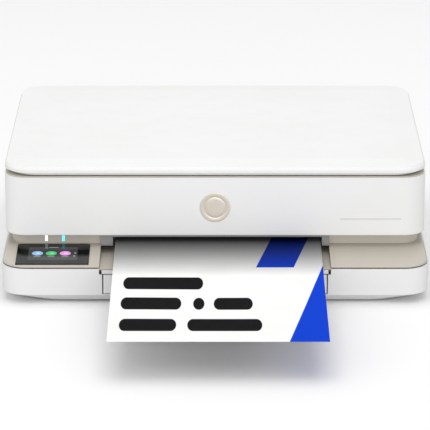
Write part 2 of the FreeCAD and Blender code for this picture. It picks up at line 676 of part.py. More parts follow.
def make_platen():
    body = new_body("platen")
    y = (front("platen_front"), front("platen_rear"))
    leg = "side_leg + leg_thick"
    box(body, "top", both(leg), y, ("guide_plate_top - 1", "guide_plate_top + 0.2"))
    for number, x in enumerate((("-%s" % "side_leg - leg_thick", "-side_leg"), ("side_leg", leg))):
        box(body, "leg_%d" % number, x, y, ("floor_top", "guide_plate_top"))
    for number in range(13):
        x = around("(%d - 6) * 16" % number, "0.7")
        box(body, "rib_%d" % number, x, ("%s + 1" % y[0], "%s - 1" % y[1]),
            ("guide_plate_top", "guide_plate_top + 0.5"))


def make_paper_guide():
    body = new_body("paper_guide")
    y = (front("guide_front"), front("guide_rear"))
    leg = "side_leg + leg_thick"
    box(body, "top", both(leg), y, ("guide_plate_top - 1", "guide_plate_top"))
    legs = (("-side_leg - leg_thick", "-side_leg"), ("side_leg", leg))
    for number, x in enumerate(legs):
        box(body, "leg_%d" % number, x, (front("plate_back + 20"), y[1]), ("floor_top", "guide_plate_top"))
    for number, x in enumerate((("-18", "-14"), ("14", "18"))):
        box(body, "lug_%d" % number, x, around(front("pick_pivot_back"), "5"),
            ("pick_pivot_height - 5", "guide_plate_top"))
    rod(body, "pivot_bar", "x", (front("pick_pivot_back"), "pick_pivot_height"), "3", both("18"))


def make_pick_arm():
    body = new_body("pick_arm")
    pivot = (front("pick_pivot_back"), "pick_pivot_height")
    far = (front("pick_back"), "pick_height")
    tilt = "-atan((pick_pivot_height - pick_height) / (pick_back - pick_pivot_back))"
    run = "sqrt((pick_pivot_height - pick_height)^2 + (pick_back - pick_pivot_back)^2)"
    for number, x in enumerate((("-12", "-9.5"), ("9.5", "12"))):
        rod(body, "pivot_eye_%d" % number, "x", pivot, "5.5", x)
        rod(body, "roller_eye_%d" % number, "x", far, "4", x)
        box(body, "cheek_%d" % number, x, (pivot[0], "%s + %s" % (pivot[0], run)),
            (pivot[1], pivot[1] + " + 4"), False, tilt)
    box(body, "web", ("-12", "12"), (pivot[0] + " + 2", "%s + %s * 0.62" % (pivot[0], run)),
        (pivot[1] + " + 2", pivot[1] + " + 4"), False, tilt)
    rod(body, "sleeve", "x", pivot, "5.5", ("-12", "12"))
    rod(body, "pivot_bore", "x", pivot, "3 + running_fit", ("-13", "13"), True)
    rod(body, "roller_bore", "x", far, "2 + running_fit", ("-13", "13"), True)


def make_pick_roller():
    body = new_body("pick_roller")
    centre = (front("pick_back"), "pick_height")
    rod(body, "axle", "x", centre, "2", ("-13", "13"))
    rod(body, "tyre", "x", centre, "pick_radius", ("-8.5", "8.5"))


def make_turn_roller():
    body = new_body("turn_roller")
    centre = (front("turn_back"), "turn_height")
    rod(body, "axle", "x", centre, "3", both("side_leg + leg_thick + 1"))
    for number in range(3):
        x = "(%d - 1) * 70" % number
        rod(body, "drum_%d" % number, "x", centre, "turn_radius", around(x, "24"))


def make_turn_guide():
    body = new_body("turn_guide")
    centre = (front("turn_back"), "turn_height")
    inner = both("side_leg - gap")
    rod(body, "ring", "x", centre, "turn_guide_out", both("side_leg"))
    rod(body, "ring_bore", "x", centre, "turn_guide_in", both("side_leg"), True)
    box(body, "open_half", both("side_leg + 1"),
        (centre[0] + " - turn_guide_out - 1", centre[0]),
        ("turn_height - turn_guide_out - 1", "turn_height + turn_guide_out + 1"), True)
    for number, x in enumerate((("-side_leg - leg_thick", "-side_leg"),
                                ("side_leg", "side_leg + leg_thick"))):
        box(body, "cheek_%d" % number, x, (centre[0] + " - 12", centre[0] + " + turn_guide_out"),
            ("floor_top", "turn_height + turn_guide_out - 1"))
    for number in range(5):
        x = around("(%d - 2) * 50" % number, "1")
        box(body, "rib_%d" % number, x,
            (centre[0] + " + turn_guide_in + 1", centre[0] + " + turn_guide_out + 4"),
            ("floor_top", "turn_height"))
    rod(body, "axle_hole", "x", centre, "3 + running_fit", both("side_leg + leg_thick + 1"), True)


def make_gear_node(label, teeth, bore, y, z, turn_teeth=0.0, stub=None):
    """A gear on the left-hand side plate; turn_teeth sets it on by part of a tooth."""
    solid = gear_solid(size(teeth), size("gear_width"), bore)
    if stub:
        solid = solid.fuse(Part.makeCylinder(2.0, stub + 1, Vector(0, 0, -1)))
    turn = Rotation(Vector(0, 0, 1), 360.0 * turn_teeth / size(teeth))
    spin = Rotation(Vector(1, 1, 1), 120).multiply(turn)
    start = minus(PLATE_X + " + sheet_metal + 1 + gear_width")
    return new_feature(label, solid, Placement(Vector(), spin), (("x", start), ("y", y), ("z", z)))


def make_paper_gears():
    gear = make_gear_node("feed_wheel", "feed_teeth", size("shaft_radius") - 1, front("feed_back"),
                          "roller_height")
    join("feed_shaft", make_feed_rollers(), gear)
    make_gear_node("idler_gear", "idler_teeth", 2.0 + size("running_fit"), front("idler_line"),
                   "roller_height", 0.5)
    gear = make_gear_node("exit_wheel", "exit_teeth", size("exit_radius") - 3, front("exit_line"),
                          "roller_height")
    join("exit_shaft", make_exit_rollers(), gear)
    make_gear_node("feed_pinion", "motor_teeth", 0, front("motor_line"), "motor_line_height", 0.5,
                   size("gear_width") + size("sheet_metal") + 12)


def make_carriage():
    body = new_body("print_carriage")
    x = (CARRIAGE_X, CARRIAGE_X + " + carriage_wide")
    y = (front("carriage_front"), front("carriage_front + carriage_deep"))
    box(body, "block", x, y, ("carriage_low", "carriage_high"))
    soften(body, "corners", "2", upright([(size("overall_width") / 2 - 60, 0, 999)], 0, 200))
    box(body, "rear_step", (x[0] + " - 1", x[1] + " + 1"), (y[1] + " - 19", y[1] + " + 1"),
        ("carriage_low - 1", "carriage_low + 6.5"), True)
    for number in range(2):
        start = "%s + 3 + %d * 24.5" % (CARRIAGE_X, number)
        bay = (start, start + " + 21.5")
        box(body, "bay_%d" % number, bay, (y[0] + " + 3", y[1] + " - 3"),
            ("carriage_low + 8.5", "carriage_high + 1"), True)
        box(body, "well_%d" % number, bay, (y[0] + " + 3", y[1] + " - 22"),
            ("carriage_low + 3.5", "carriage_low + 9"), True)
        box(body, "head_window_%d" % number, (bay[0] + " + 2", bay[1] + " - 2"),
            (y[0] + " + 7", y[1] + " - 26"), ("carriage_low - 1", "carriage_low + 4"), True)
        box(body, "latch_notch_%d" % number, bay, (y[0] + " - 1", y[0] + " + 4"),
            ("carriage_low + 28", "carriage_high + 1"), True)
    box(body, "rod_lug", (x[0] + " + 4", x[1] + " - 4"), (y[1] + " - 1", front("rod_back + 5")),
        ("rod_height - 6", "rod_height + 5.9"))
    box(body, "belt_clamp", (x[0] + " + 18", x[1] + " - 18"),
        (front("rod_back + 4"), front("belt_back + belt_wide / 2 + 0.5")),
        ("rod_height + 3", "belt_height - pulley_radius - belt_thick - slide_gap"))
    rod(body, "rod_bore", "x", (front("rod_back"), "rod_height"), "rod_radius + running_fit",
        (x[0] + " - 1", x[1] + " + 1"), True)
    rod(body, "latch_bore", "x", (y[0] + " + 9.5", "carriage_low + 30"), "1 + running_fit",
        (x[0] + " - 1", x[1] + " + 1"), True)


def make_cartridges():
    y = (front("carriage_front"), front("carriage_front + carriage_deep"))
    body = new_body("ink_cartridges")
    for number, word in enumerate(("colour", "black")):
        start = "%s + 3.3 + %d * 24.5" % (CARRIAGE_X, number)
        x = (start, start + " + 20.9")
        box(body, word + "_tank", x, (y[0] + " + 3.3", y[1] + " - 3.3"),
            ("carriage_low + 8.8", "carriage_low + 28.4"))
        box(body, word + "_foot", x, (y[0] + " + 3.3", y[1] + " - 22.3"),
            ("carriage_low + 3.5", "carriage_low + 9"))
        box(body, word + "_head", (x[0] + " + 2.5", x[1] + " - 2.5"), (y[0] + " + 7.6", y[1] + " - 26.6"),
            ("carriage_low + 0.6", "carriage_low + 4"))
        box(body, word + "_grip", (x[0] + " + 5", x[1] + " - 5"), (y[0] + " + 22", y[0] + " + 26"),
            ("carriage_low + 28", "carriage_low + 32"))


def make_latches():
    y = front("carriage_front")
    for number, word in enumerate(("colour", "black")):
        body = new_body("latch_" + word)
        start = "%s + 3.3 + %d * 24.5" % (CARRIAGE_X, number)
        x = (start, start + " + 20.9")
        pin_x = (start + " - 1.2", start + " + 22.1")
        centre = (y + " + 9.5", "carriage_low + 30")
        rod(body, "pin", "x", centre, "1", pin_x)
        box(body, "lever", x, (y + " + 1.5", centre[0]), ("carriage_low + 29", "carriage_low + 31"))


def make_belt():
    body = new_body("carriage_belt")
    ends = (minus(side("idler_in")), side("pulley_in"))
    y = around(front("belt_back"), "belt_wide / 2")
    outer = "pulley_radius + belt_thick"
    box(body, "loop", ends, y, around("belt_height", outer))
    for number, x in enumerate(ends):
        rod(body, "bend_%d" % number, "y", (x, "belt_height"), outer, y)
    box(body, "inside", ends, (y[0] + " - 1", y[1] + " + 1"), around("belt_height", "pulley_radius"),
        True)
    for number, x in enumerate(ends):
        rod(body, "bend_inside_%d" % number, "y", (x, "belt_height"), "pulley_radius",
            (y[0] + " - 1", y[1] + " + 1"), True)


def make_pulleys():
    for label, x, far, bore in (("drive_pulley", side("pulley_in"), "plate_back + 10", None),
                                ("idler_pulley", minus(side("idler_in")), None, "1.5 + running_fit")):
        body = new_body(label)
        centre = (x, "belt_height")
        near = "belt_back - belt_wide / 2"
        rod(body, "drum", "y", centre, "pulley_radius - running_fit",
            (front(near + " - 1"), front("belt_back + belt_wide / 2 + 1")))
        rod(body, "front_flange", "y", centre, "pulley_radius + 2",
            (front(near + " - 1"), front(near + " - 0.3")))
        rod(body, "rear_flange", "y", centre, "pulley_radius + 2",
            (front("belt_back + belt_wide / 2 + 0.3"), front("belt_back + belt_wide / 2 + 1")))
        if far:
            rod(body, "axle", "y", centre, "2", (front(near + " - 1.5"), front(far)))
        if bore:
            rod(body, "bore", "y", centre, bore, (front(near + " - 3"), front("plate_back")), True)


def make_motors():
    body = new_body("drive_motors")
    centre = (side("pulley_in"), "belt_height")
    rod(body, "can", "y", centre, "motor_radius",
        (front("plate_back + sheet_metal"), front("plate_back + sheet_metal + 26")))
    rod(body, "tail", "y", centre, "4",
        (front("plate_back + sheet_metal + 20"), front("plate_back + sheet_metal + 29")))
    rod(body, "bore", "y", centre, "2 + running_fit",
        (front("plate_back"), front("plate_back + 12")), True)
    centre = (front("motor_line"), "motor_line_height")
    rod(body, "feed_can", "x", centre, "feed_motor_radius", (minus(PLATE_X), minus(PLATE_X + " - 24")))
    rod(body, "feed_bore", "x", centre, "2 + running_fit",
        (minus(PLATE_X + " + 1"), minus(PLATE_X + " - 14")), True)


def make_service_station():
    body = new_body("service_station")
    left = side("station_in + station_wide")
    x = (left, side("station_in"))
    y = (front("station_front"), front("station_front + station_deep"))
    box(body, "tub", x, y, ("floor_top", "station_high"))
    box(body, "top_well", (x[0] + " + 2", x[1] + " - 2"), (y[0] + " + 2", y[1] + " - 2"),
        ("station_high - 12", "station_high + 1"), True)
    box(body, "under_well", (x[0] + " + 2", x[1] + " - 2"), (y[0] + " + 2", y[1] + " - 2"),
        ("floor_top - 1", "station_high - 14"), True)
    sled = new_body("cap_sled")
    inner_x = (x[0] + " + 2.3", x[1] + " - 2.3")
    inner_y = (y[0] + " + 2.3", y[1] + " - 2.3")
    box(sled, "plate", inner_x, inner_y, ("station_high - 12 + slide_gap", "station_high - 9"))
    for number in range(2):
        middle = "%s + 13.75 + %d * 24.5" % (CARRIAGE_X, number)
        box(sled, "cap_%d" % number, around(middle, "8"), (y[0] + " + 8", y[1] + " - 9"),
            ("station_high - 10", "cap_high"))
        box(sled, "cap_well_%d" % number, around(middle, "6.5"), (y[0] + " + 9.5", y[1] + " - 10.5"),
            ("cap_high - 2", "cap_high + 1"), True)
    box(sled, "wiper", (x[0] + " + 6", x[1] + " - 6"), (y[1] + " - 6", y[1] + " - 5"),
        ("station_high - 10", "cap_high"))


# ---------------------------------------------------------------- electrics

def make_power_supply():
    body = new_body("power_supply")
    x = (minus(side("supply_in")), minus(side("supply_in + supply_wide")))
    y = (rear("supply_rear + supply_deep"), rear("supply_rear"))
    plate(body, "case", x, y, ("floor_top", "supply_high"), "4")
    soften(body, "case_rim", "2", at_height(size("supply_high")))
    for number in range(7):
        middle = "%s + (%d + 1) * supply_deep / 8" % (y[0], number)
        box(body, "vent_%d" % number, (x[0] + " + 14", x[1] + " - 14"), around(middle, "1.5"),
            ("supply_high - 1.2", "supply_high + 1"), True)


def make_power_inlet():
    body = new_body("power_inlet")
    half = "inlet_wide / 2 - gap"
    box(body, "block", around("-inlet_x", half), (rear("20"), rear("1.2")),
        ("inlet_low + gap", "inlet_high - gap"))
    box(body, "flange", around("-inlet_x", "inlet_wide / 2 + 2"),
        (rear("base_taper + wall + 2.5"), rear("base_taper + wall + 0.1")),
        ("inlet_low - 1.5", "inlet_high + 1.5"))
    box(body, "foot", around("-inlet_x", "6"), (rear("20"), rear("14")), ("floor_top", "inlet_low + 1"))
    middle = "(inlet_low + inlet_high) / 2"
    for number, hand in enumerate((-1, 1)):
        rod(body, "well_%d" % number, "y", ("-inlet_x + %d * 4.3" % hand, middle), "4.6",
            (rear("13"), rear("1")), True)
    box(body, "well_bridge", around("-inlet_x", "4.3"), (rear("13"), rear("1")),
        around(middle, "2.8"), True)
    for number, hand in enumerate((-1, 1)):
        rod(body, "contact_%d" % number, "y", ("-inlet_x + %d * 4.3" % hand, middle), "1.2",
            (rear("13.5"), rear("4")))


def make_main_board():
    body = new_body("main_board")
    x = (side("board_in + board_wide"), side("board_in"))
    y = (rear("board_rear + board_deep"), rear("board_rear"))
    top = "board_low + board_thick"
    box(body, "board", x, y, ("board_low", top))
    for number in range(3):
        start = "%s + 10 + %d * 20" % (x[0], number)
        box(body, "chip_%d" % number, (start, start + " + 14"), (y[0] + " + 40", y[0] + " + 54"),
            (top, top + " + 1.4"))
        box(body, "socket_%d" % number, (start, start + " + 12"), (y[0] + " + 4", y[0] + " + 10"),
            (top, top + " + 6"))
        rod(body, "capacitor_%d" % number, "z", (start + " + 5", y[0] + " + 70"), "4",
            (top, top + " + 12"))
    box(body, "switch_carrier", (side("wireless_button_in + 7"), side("power_button_in - 7")),
        (rear("16"), rear("8.6")), (top, "button_height + 5"))


def make_usb_port():
    body = new_body("usb_port")
    x = around(side("usb_in"), "usb_wide / 2")
    z = ("board_low + board_thick", "usb_high")
    box(body, "shell", x, (rear("16"), rear("0.9")), z)
    box(body, "well", (x[0] + " + 1", x[1] + " - 1"), (rear("11"), rear("0")),
        (z[0] + " + 1", z[1] + " - 1"), True)
    box(body, "tongue", (x[0] + " + 3.5", x[1] + " - 3.5"), (rear("12"), rear("3")),
        (z[0] + " + 3.5", z[1] + " - 3.5"))


def make_rear_buttons():
    for word in ("power", "wireless"):
        body = new_body(word + "_button")
        centre = (side(word + "_button_in"), "button_height")
        rod(body, "cap", "y", centre, "button_radius", (rear("7"), rear("-0.5")))
        rod(body, "collar", "y", centre, "button_radius + 1.5", (rear("7"), rear("5.4")))
        soften(body, "cap_rim", "0.6",
               lambda edge: edge.BoundBox.YMin > size("overall_depth") / 2 + 0.4)


def make_display_glass():
    body = new_body("display_glass")
    plate(body, "glass", both("display_wide / 2"), both("display_deep / 2"), ("0", "display_thick"), "3")
    soften(body, "polished_rim", "0.5", at_height(size("display_thick")))
    body.Placement = Placement(Vector(), Rotation(Vector(1, 0, 0), 1))
    bind(body, "Placement.Rotation.Angle", PANEL_TILT)
    along = "(display_deep / 2 + 0.15)"
    bind(body, "Placement.Base.x", "-display_x")
    bind(body, "Placement.Base.y", "%s + %s * cos(%s)" % (front(DISPLAY_EDGE), along, PANEL_TILT))
    bind(body, "Placement.Base.z", "%s + %s * sin(%s)" % (DISPLAY_BED, along, PANEL_TILT))


def make_status_lights():
    body = new_body("status_lights")
    z = around("(deck_top + neck_top) / 2", "light_high / 2")
    for word in ("power", "wireless"):
        x = "-%s_light_x" % word
        box(body, word + "_lens", around(x, "light_wide / 2"),
            (front("panel_depth - 0.2"), front("panel_depth + wall")), z)
        box(body, word + "_collar", around(x, "light_wide / 2 + 1"),
            (front("panel_depth + wall"), front("panel_depth + wall + 1.5")),
            (z[0] + " + 1", z[1] + " - 1"))


# ---------------------------------------------------------------- paper tray

def make_paper_tray():
    body = new_body("paper_tray")
    x = both("tray_half")
    y = (front("tray_front_gap"), front("tray_front_gap + tray_length"))
    plate(body, "floor", x, y, ("tray_low", "tray_high"), "1.5")
    box(body, "well", both("tray_half - tray_wall"), (y[0] + " + tray_wall", y[1] + " + 1"),
        ("tray_floor_top", "tray_high + 1"), True)
    rod(body, "pinion_post", "z", ("0", front("pinion_back")), "1.5",
        ("tray_low + 1", "arm_high + 0.6"))
    for number in range(3):
        start = "%s + 24 + %d * 52" % (y[0], number)
        for hand in (-1, 1):
            middle = "%d * 52" % hand
            name = "floor_window_%d_%s" % (number, "left" if hand < 0 else "right")
            box(body, name, around(middle, "26"), (start, start + " + 40"),
                ("tray_low - 1", "tray_floor_top + 1"), True)


def make_tray_front():
    body = new_body("tray_front")
    y = (front("base_taper * 0.7"), front("tray_front_gap"))
    box(body, "face", both("tray_opening_half - 1"), y, ("tray_face_low", "tray_face_high"))
    soften(body, "face_edges", "1.2", lambda edge: edge.BoundBox.YMax < -size("overall_depth") / 2
           + size("base_taper") * 0.7 + 0.01)
    box(body, "finger_scoop", both("26"), (y[0] + " + 1.4", y[1] + " + 1"),
        ("tray_face_low - 1", "tray_face_low + 7"), True)


def make_width_guides():
    reach = size("gear_module") * size("width_teeth") / 2 + size("backlash") / 2
    thick = size("arm_high") - size("tray_floor_top") - size("slide_gap")
    half, wall = size("guide_half"), size("guide_wall")
    middle = size("pinion_back") - size("guide_back")
    high = size("guide_high") - size("tray_floor_top") - size("slide_gap")
    for label, turn in (("width_guide_left", 0), ("width_guide_right", 180)):
        arm = rack_solid(2 * half, 6.0, thick)
        arm.translate(Vector(0, -reach, 0))
        spare = Part.makeBox(half, 20, thick + 2, Vector(16, -reach - 10, -1))
        start = -middle if turn == 0 else middle - size("guide_length")
        fence = Part.makeBox(wall, size("guide_length"), high, Vector(-half - wall, start, 0))
        toe = Part.makeBox(9, size("guide_length"), 1.2, Vector(-half - 0.1, start, 0))
        passage = Part.makeBox(wall + 12, 8.6, thick + 0.8, Vector(-half - wall - 1, reach - 1.6, -0.4))
        guide = fence.fuse(toe).cut(passage).fuse(arm.cut(spare)).removeSplitter()
        new_feature(label, guide, Placement(Vector(), Rotation(Vector(0, 0, 1), turn)),
                    (("y", front("pinion_back")), ("z", "tray_floor_top + slide_gap")))
    gear = gear_solid(size("width_teeth"), thick, 1.5 + size("running_fit"))
    new_feature("width_pinion", gear, Placement(),
                (("y", front("pinion_back")), ("z", "tray_floor_top + slide_gap")))


def make_length_guide():
    body = new_body("length_guide")
    low = "tray_floor_top + slide_gap"
    box(body, "slide", both("30"), (front("stop_back - 16"), front("stop_back + 2")),
        (low, "stop_plate_top"))
    for number, x in enumerate((("-29", "-14"), ("14", "29"))):
        box(body, "post_%d" % number, x, (front("stop_back"), front("stop_back + 2")),
            (low, "guide_high - 1"))


def make_output_extender():
    body = new_body("output_extender")
    y = (front("0.4"), front("extender_length"))
    box(body, "board", both("extender_half"), y, ("extender_low", "extender_high"))
    box(body, "tip_channel", both("stop_half + 0.2"), (y[0] + " - 1", y[1] + " - 20"),
        ("extender_low + 0.7", "extender_high - 0.9"), True)
    for number in range(6):
        x = around("(%d - 2.5) * 36" % number, "9")
        box(body, "shallow_%d" % number, x, (y[0] + " + 14", y[1] + " - 12"),
            ("extender_high - 0.5", "extender_high + 1"), True)
    tip = new_body("extender_tip")
    box(tip, "board", both("stop_half"), (front("0.6"), front("90")),
        ("extender_low + 0.8", "extender_high - 1"))
    box(tip, "finger_slot", both("12"), (front("4"), front("12")),
        ("extender_low", "extender_high"), True)


def make_printed_sheet():
    body = new_body("printed_sheet")
    box(body, "sheet", both("paper_wide / 2"), ("-paper_long", "0"), ("0", "paper_thick"))
    body.Placement = Placement(Vector(), Rotation(Vector(1, 0, 0), 1))
    bind(body, "Placement.Rotation.Angle", "asin(paper_fall / paper_long)")
    bind(body, "Placement.Base.x", "paper_shift")
    bind(body, "Placement.Base.y", front("paper_rear"))
    bind(body, "Placement.Base.z", "paper_height")


# ---------------------------------------------------------------- scanner unit

def make_body_shell():
    body = new_body("body_shell")
    plate(body, "wall_ring", SHELL_X, SHELL_Y, ("body_low", "body_high"), "body_radius")
    soften(body, "lower_rim", "1.6", at_height(size("body_low")))
    inner_x = both(HALF + " - body_inset - body_wall")
    inner_y = (front("body_front + body_wall"), rear("body_rear_gap + body_wall"))
    plate(body, "inside", inner_x, inner_y, ("body_low - 1", "body_high + 1"),
          "body_radius - body_wall", True)
    for number, hand in enumerate((-1, 1)):
        x = around("%d * hinge_x" % hand, "12.5")
        box(body, "hinge_notch_%d" % number, x, (rear("16"), rear("-1")),
            ("body_low - 1", "hinge_height + 8"), True)
        box(body, "pan_bracket_%d" % number, around("%d * 90" % hand, "6"),
            (front("body_front + body_wall - 0.5"), front("body_front + body_wall + 10")),
            ("pan_low - 3", "pan_low"))
        box(body, "rear_pan_bracket_%d" % number, around("%d * 90" % hand, "6"),
            (rear("body_rear_gap + body_wall + 20"), rear("body_rear_gap + body_wall - 0.5")),
            ("pan_low - 3", "pan_low"))


def make_pan():
    body = new_body("pan_moulding")
    x = both(HALF + " - body_inset - body_wall - 0.2")
    y = (front("body_front + body_wall + 0.2"), rear("pan_rear_gap"))
    radius = "body_radius - body_wall - 0.2"
    plate(body, "tray", x, y, ("pan_low", "pan_high"), radius)
    plate(body, "well", both(HALF + " - body_inset - body_wall - 0.2 - pan_wall"),
          (y[0] + " + pan_wall", y[1] + " - pan_wall"), ("pan_low + 2", "pan_high + 1"),
          radius + " - pan_wall", True)
    rail_x = both("window_half + glass_lap")
    near, far = front("window_front - glass_overhang"), front("window_front + window_length")
    for number, start in enumerate((near, far)):
        back = 2 * number
        y_span = ("%s + %d" % (start, back), "%s + %d" % (start, back + 6))
        box(body, "glass_rail_%d" % number, rail_x, y_span,
            ("pan_low + 1", "pan_high - glass_thick"))
    for number, hand in enumerate((-1, 1)):
        end = "%d * (scan_park + 20)" % hand
        box(body, "rod_block_%d" % number, around(end, "3"),
            around(front("scan_rod_back"), "5"), ("pan_low + 1", "scan_rod_height + 5"))
    rod(body, "rod_hole", "x", (front("scan_rod_back"), "scan_rod_height"), "scan_rod_radius",
        both("scan_park + 25"), True)
    return body


def make_scan_rod():
    body = new_body("scan_rod")
    rod(body, "bar", "x", (front("scan_rod_back"), "scan_rod_height"), "scan_rod_radius",
        both("scan_park + 23"))


def make_scanner_bezel():
    body = new_body("scanner_bezel")
    x = both(HALF + " - body_inset - 1")
    y = (front("body_front + 1"), rear("body_rear_gap + 1"))
    plate(body, "plate", x, y, ("body_high", "bezel_high"), "body_radius - 1")
    lip = "body_inset + body_wall + 0.2"
    lip_y = (front("body_front + body_wall + 0.2"), rear("body_rear_gap + body_wall + 0.2"))
    plate(body, "lip", both(HALF + " - " + "(%s)" % lip), lip_y, ("pan_high", "body_high + 0.2"),
          "body_radius - body_wall - 0.2")
    plate(body, "lip_hollow", both(HALF + " - (%s) - 2" % lip),
          ("%s + 2" % lip_y[0], "%s - 2" % lip_y[1]), ("pan_high - 1", "body_high"),
          "body_radius - body_wall - 2.2", True)
    window_y = (front("window_front"), front("window_front + window_length"))
    box(body, "glass_frame", both("window_half + 4"),
        ("%s - 4" % window_y[0], "%s + 4" % window_y[1]), ("pan_high", "body_high + 0.2"))
    plate(body, "window", both("window_half"), window_y, ("pan_high - 1", "bezel_high + 1"), "3", True)
    soften(body, "edge_round", "0.5", lambda edge: at_height(size("bezel_high"))(edge)
           and edge.BoundBox.DiagonalLength > 12)
    for number, hand in enumerate((-1, 1)):
        x = around("%d * hinge_x" % hand, "7")
        box(body, "lid_post_%d" % number, x, (rear("8"), rear("body_rear_gap + body_wall")),
            ("body_high", "lid_hinge_height"))
        rod(body, "lid_eye_%d" % number, "x", (HINGE_Y, "lid_hinge_height"), "2.2", x)
    rod(body, "lid_bores", "x", (HINGE_Y, "lid_hinge_height"), "lid_pin + running_fit",
        both("hinge_x + 16"), True)


def make_platen_glass():
    body = new_body("platen_glass")
    box(body, "pane", both("window_half + glass_lap"),
        (front("window_front - glass_overhang"), front("window_front + window_length + 8")),
        ("pan_high - glass_thick", "pan_high"))


def make_scan_head():
    body = new_body("scan_carriage")
    x = ("-scan_park", "-scan_park + scan_wide")
    y = (front("scan_front"), front("scan_front + scan_long"))
    box(body, "bar", x, y, ("scan_low", "scan_high"))
    box(body, "lens_groove", (x[0] + " + 7", x[1] + " - 7"), ("%s + 4" % y[0], "%s - 4" % y[1]),
        ("scan_high - 3", "scan_high + 1"), True)
    middle = "-scan_park + scan_wide / 2"
    gear_y = around(front("scan_gear_back"), "gear_width / 2 + 0.6")
    reach = "gear_module * (scan_teeth / 2 + 1) + 1"
    box(body, "gear_pocket", around(middle, reach), gear_y,
        ("scan_low - 1", "scan_gear_height + " + reach), True)
    rod(body, "axle_bore", "y", (middle, "scan_gear_height + backlash"), "1.5 + running_fit",
        around(front("scan_gear_back"), "7.5"), True)
    box(body, "rack_passage", (x[0] + " - 1", x[1] + " + 1"), gear_y,
        ("scan_low - 1", "scan_gear_height - gear_module * scan_teeth / 2 + gear_module + 0.6"), True)
    rod(body, "rod_bore", "x", (front("scan_rod_back"), "scan_rod_height"),
        "scan_rod_radius + running_fit", (x[0] + " - 1", x[1] + " + 1"), True)
    lamp = new_body("scan_lens")
    box(lamp, "strip", (x[0] + " + 7.2", x[1] + " - 7.2"), ("%s + 4.2" % y[0], "%s - 4.2" % y[1]),
        ("scan_high - 3", "scan_high - 0.6"))


def make_scanner_pan():
    pan = make_pan()
    teeth, module = size("scan_teeth"), size("gear_module")
    gear = gear_solid(teeth, size("gear_width"), 0)
    axle = Part.makeCylinder(1.5, size("gear_width") + 9, Vector(0, 0, -4.5))
    gear = gear.fuse(axle)
    spin = Rotation(Vector(1, 0, 0), 90)
    place = Placement(Vector(), spin.multiply(Rotation(Vector(0, 0, 1), 90)))
    new_feature("scan_pinion", gear, place,
                (("x", "-scan_park + scan_wide / 2"), ("y", front("scan_gear_back + gear_width / 2")),
                 ("z", "scan_gear_height + backlash")))
    pitch_line = size("scan_gear_height") - module * teeth / 2
    length = 2 * size("scan_park") + 10
    depth = pitch_line - size("pan_low") - 1.5
    rack = rack_solid(length, depth, size("gear_width"))
    middle = -size("scan_park") + size("scan_wide") / 2
    pitch = math.pi * module
    shift = middle - round(middle / pitch) * pitch
    upright_rack = Placement(Vector(shift, 0, 0), Rotation(Vector(1, 0, 0), 90))
    rack_item = new_feature("scan_rack", rack, upright_rack,
                (("y", front("scan_gear_back + gear_width / 2")),
                 ("z", "scan_gear_height - gear_module * scan_teeth / 2")))
    join("scanner_pan", pan, rack_item)


def make_emblem_disc():
    body = new_body("emblem_disc")
    rod(body, "disc", "y", ("0", "emblem_height"), "emblem_radius",
        (front("body_front - 0.5"), front("body_front")))
    soften(body, "disc_rim", "0.3",
           lambda edge: edge.BoundBox.YMax < size("body_front") - size("overall_depth") / 2 - 0.4)


def make_hinge_knuckles():
    knuckles = new_body("hinge_knuckles")
    for number, hand in enumerate((-1, 1)):
        for other, step in enumerate((-1, 1)):
            x = around("%d * hinge_x + %d * 8.9" % (hand, step), "3.5")
            box(knuckles, "block_%d_%d" % (number, other), x, (rear("13"), rear("0.9")),
                ("body_low + 0.1", "hinge_height + 7.9"))
            box(knuckles, "root_%d_%d" % (number, other), x,
                (rear("13"), rear("body_rear_gap + body_wall")),
                ("hinge_height + 7.8", "hinge_height + 16"))
    for number, hand in enumerate((-1, 1)):
        rod(knuckles, "pin_%d" % number, "x", (HINGE_Y, "hinge_height"), "hinge_pin",
            around("%d * hinge_x" % hand, "12.4"))


# ---------------------------------------------------------------- lid

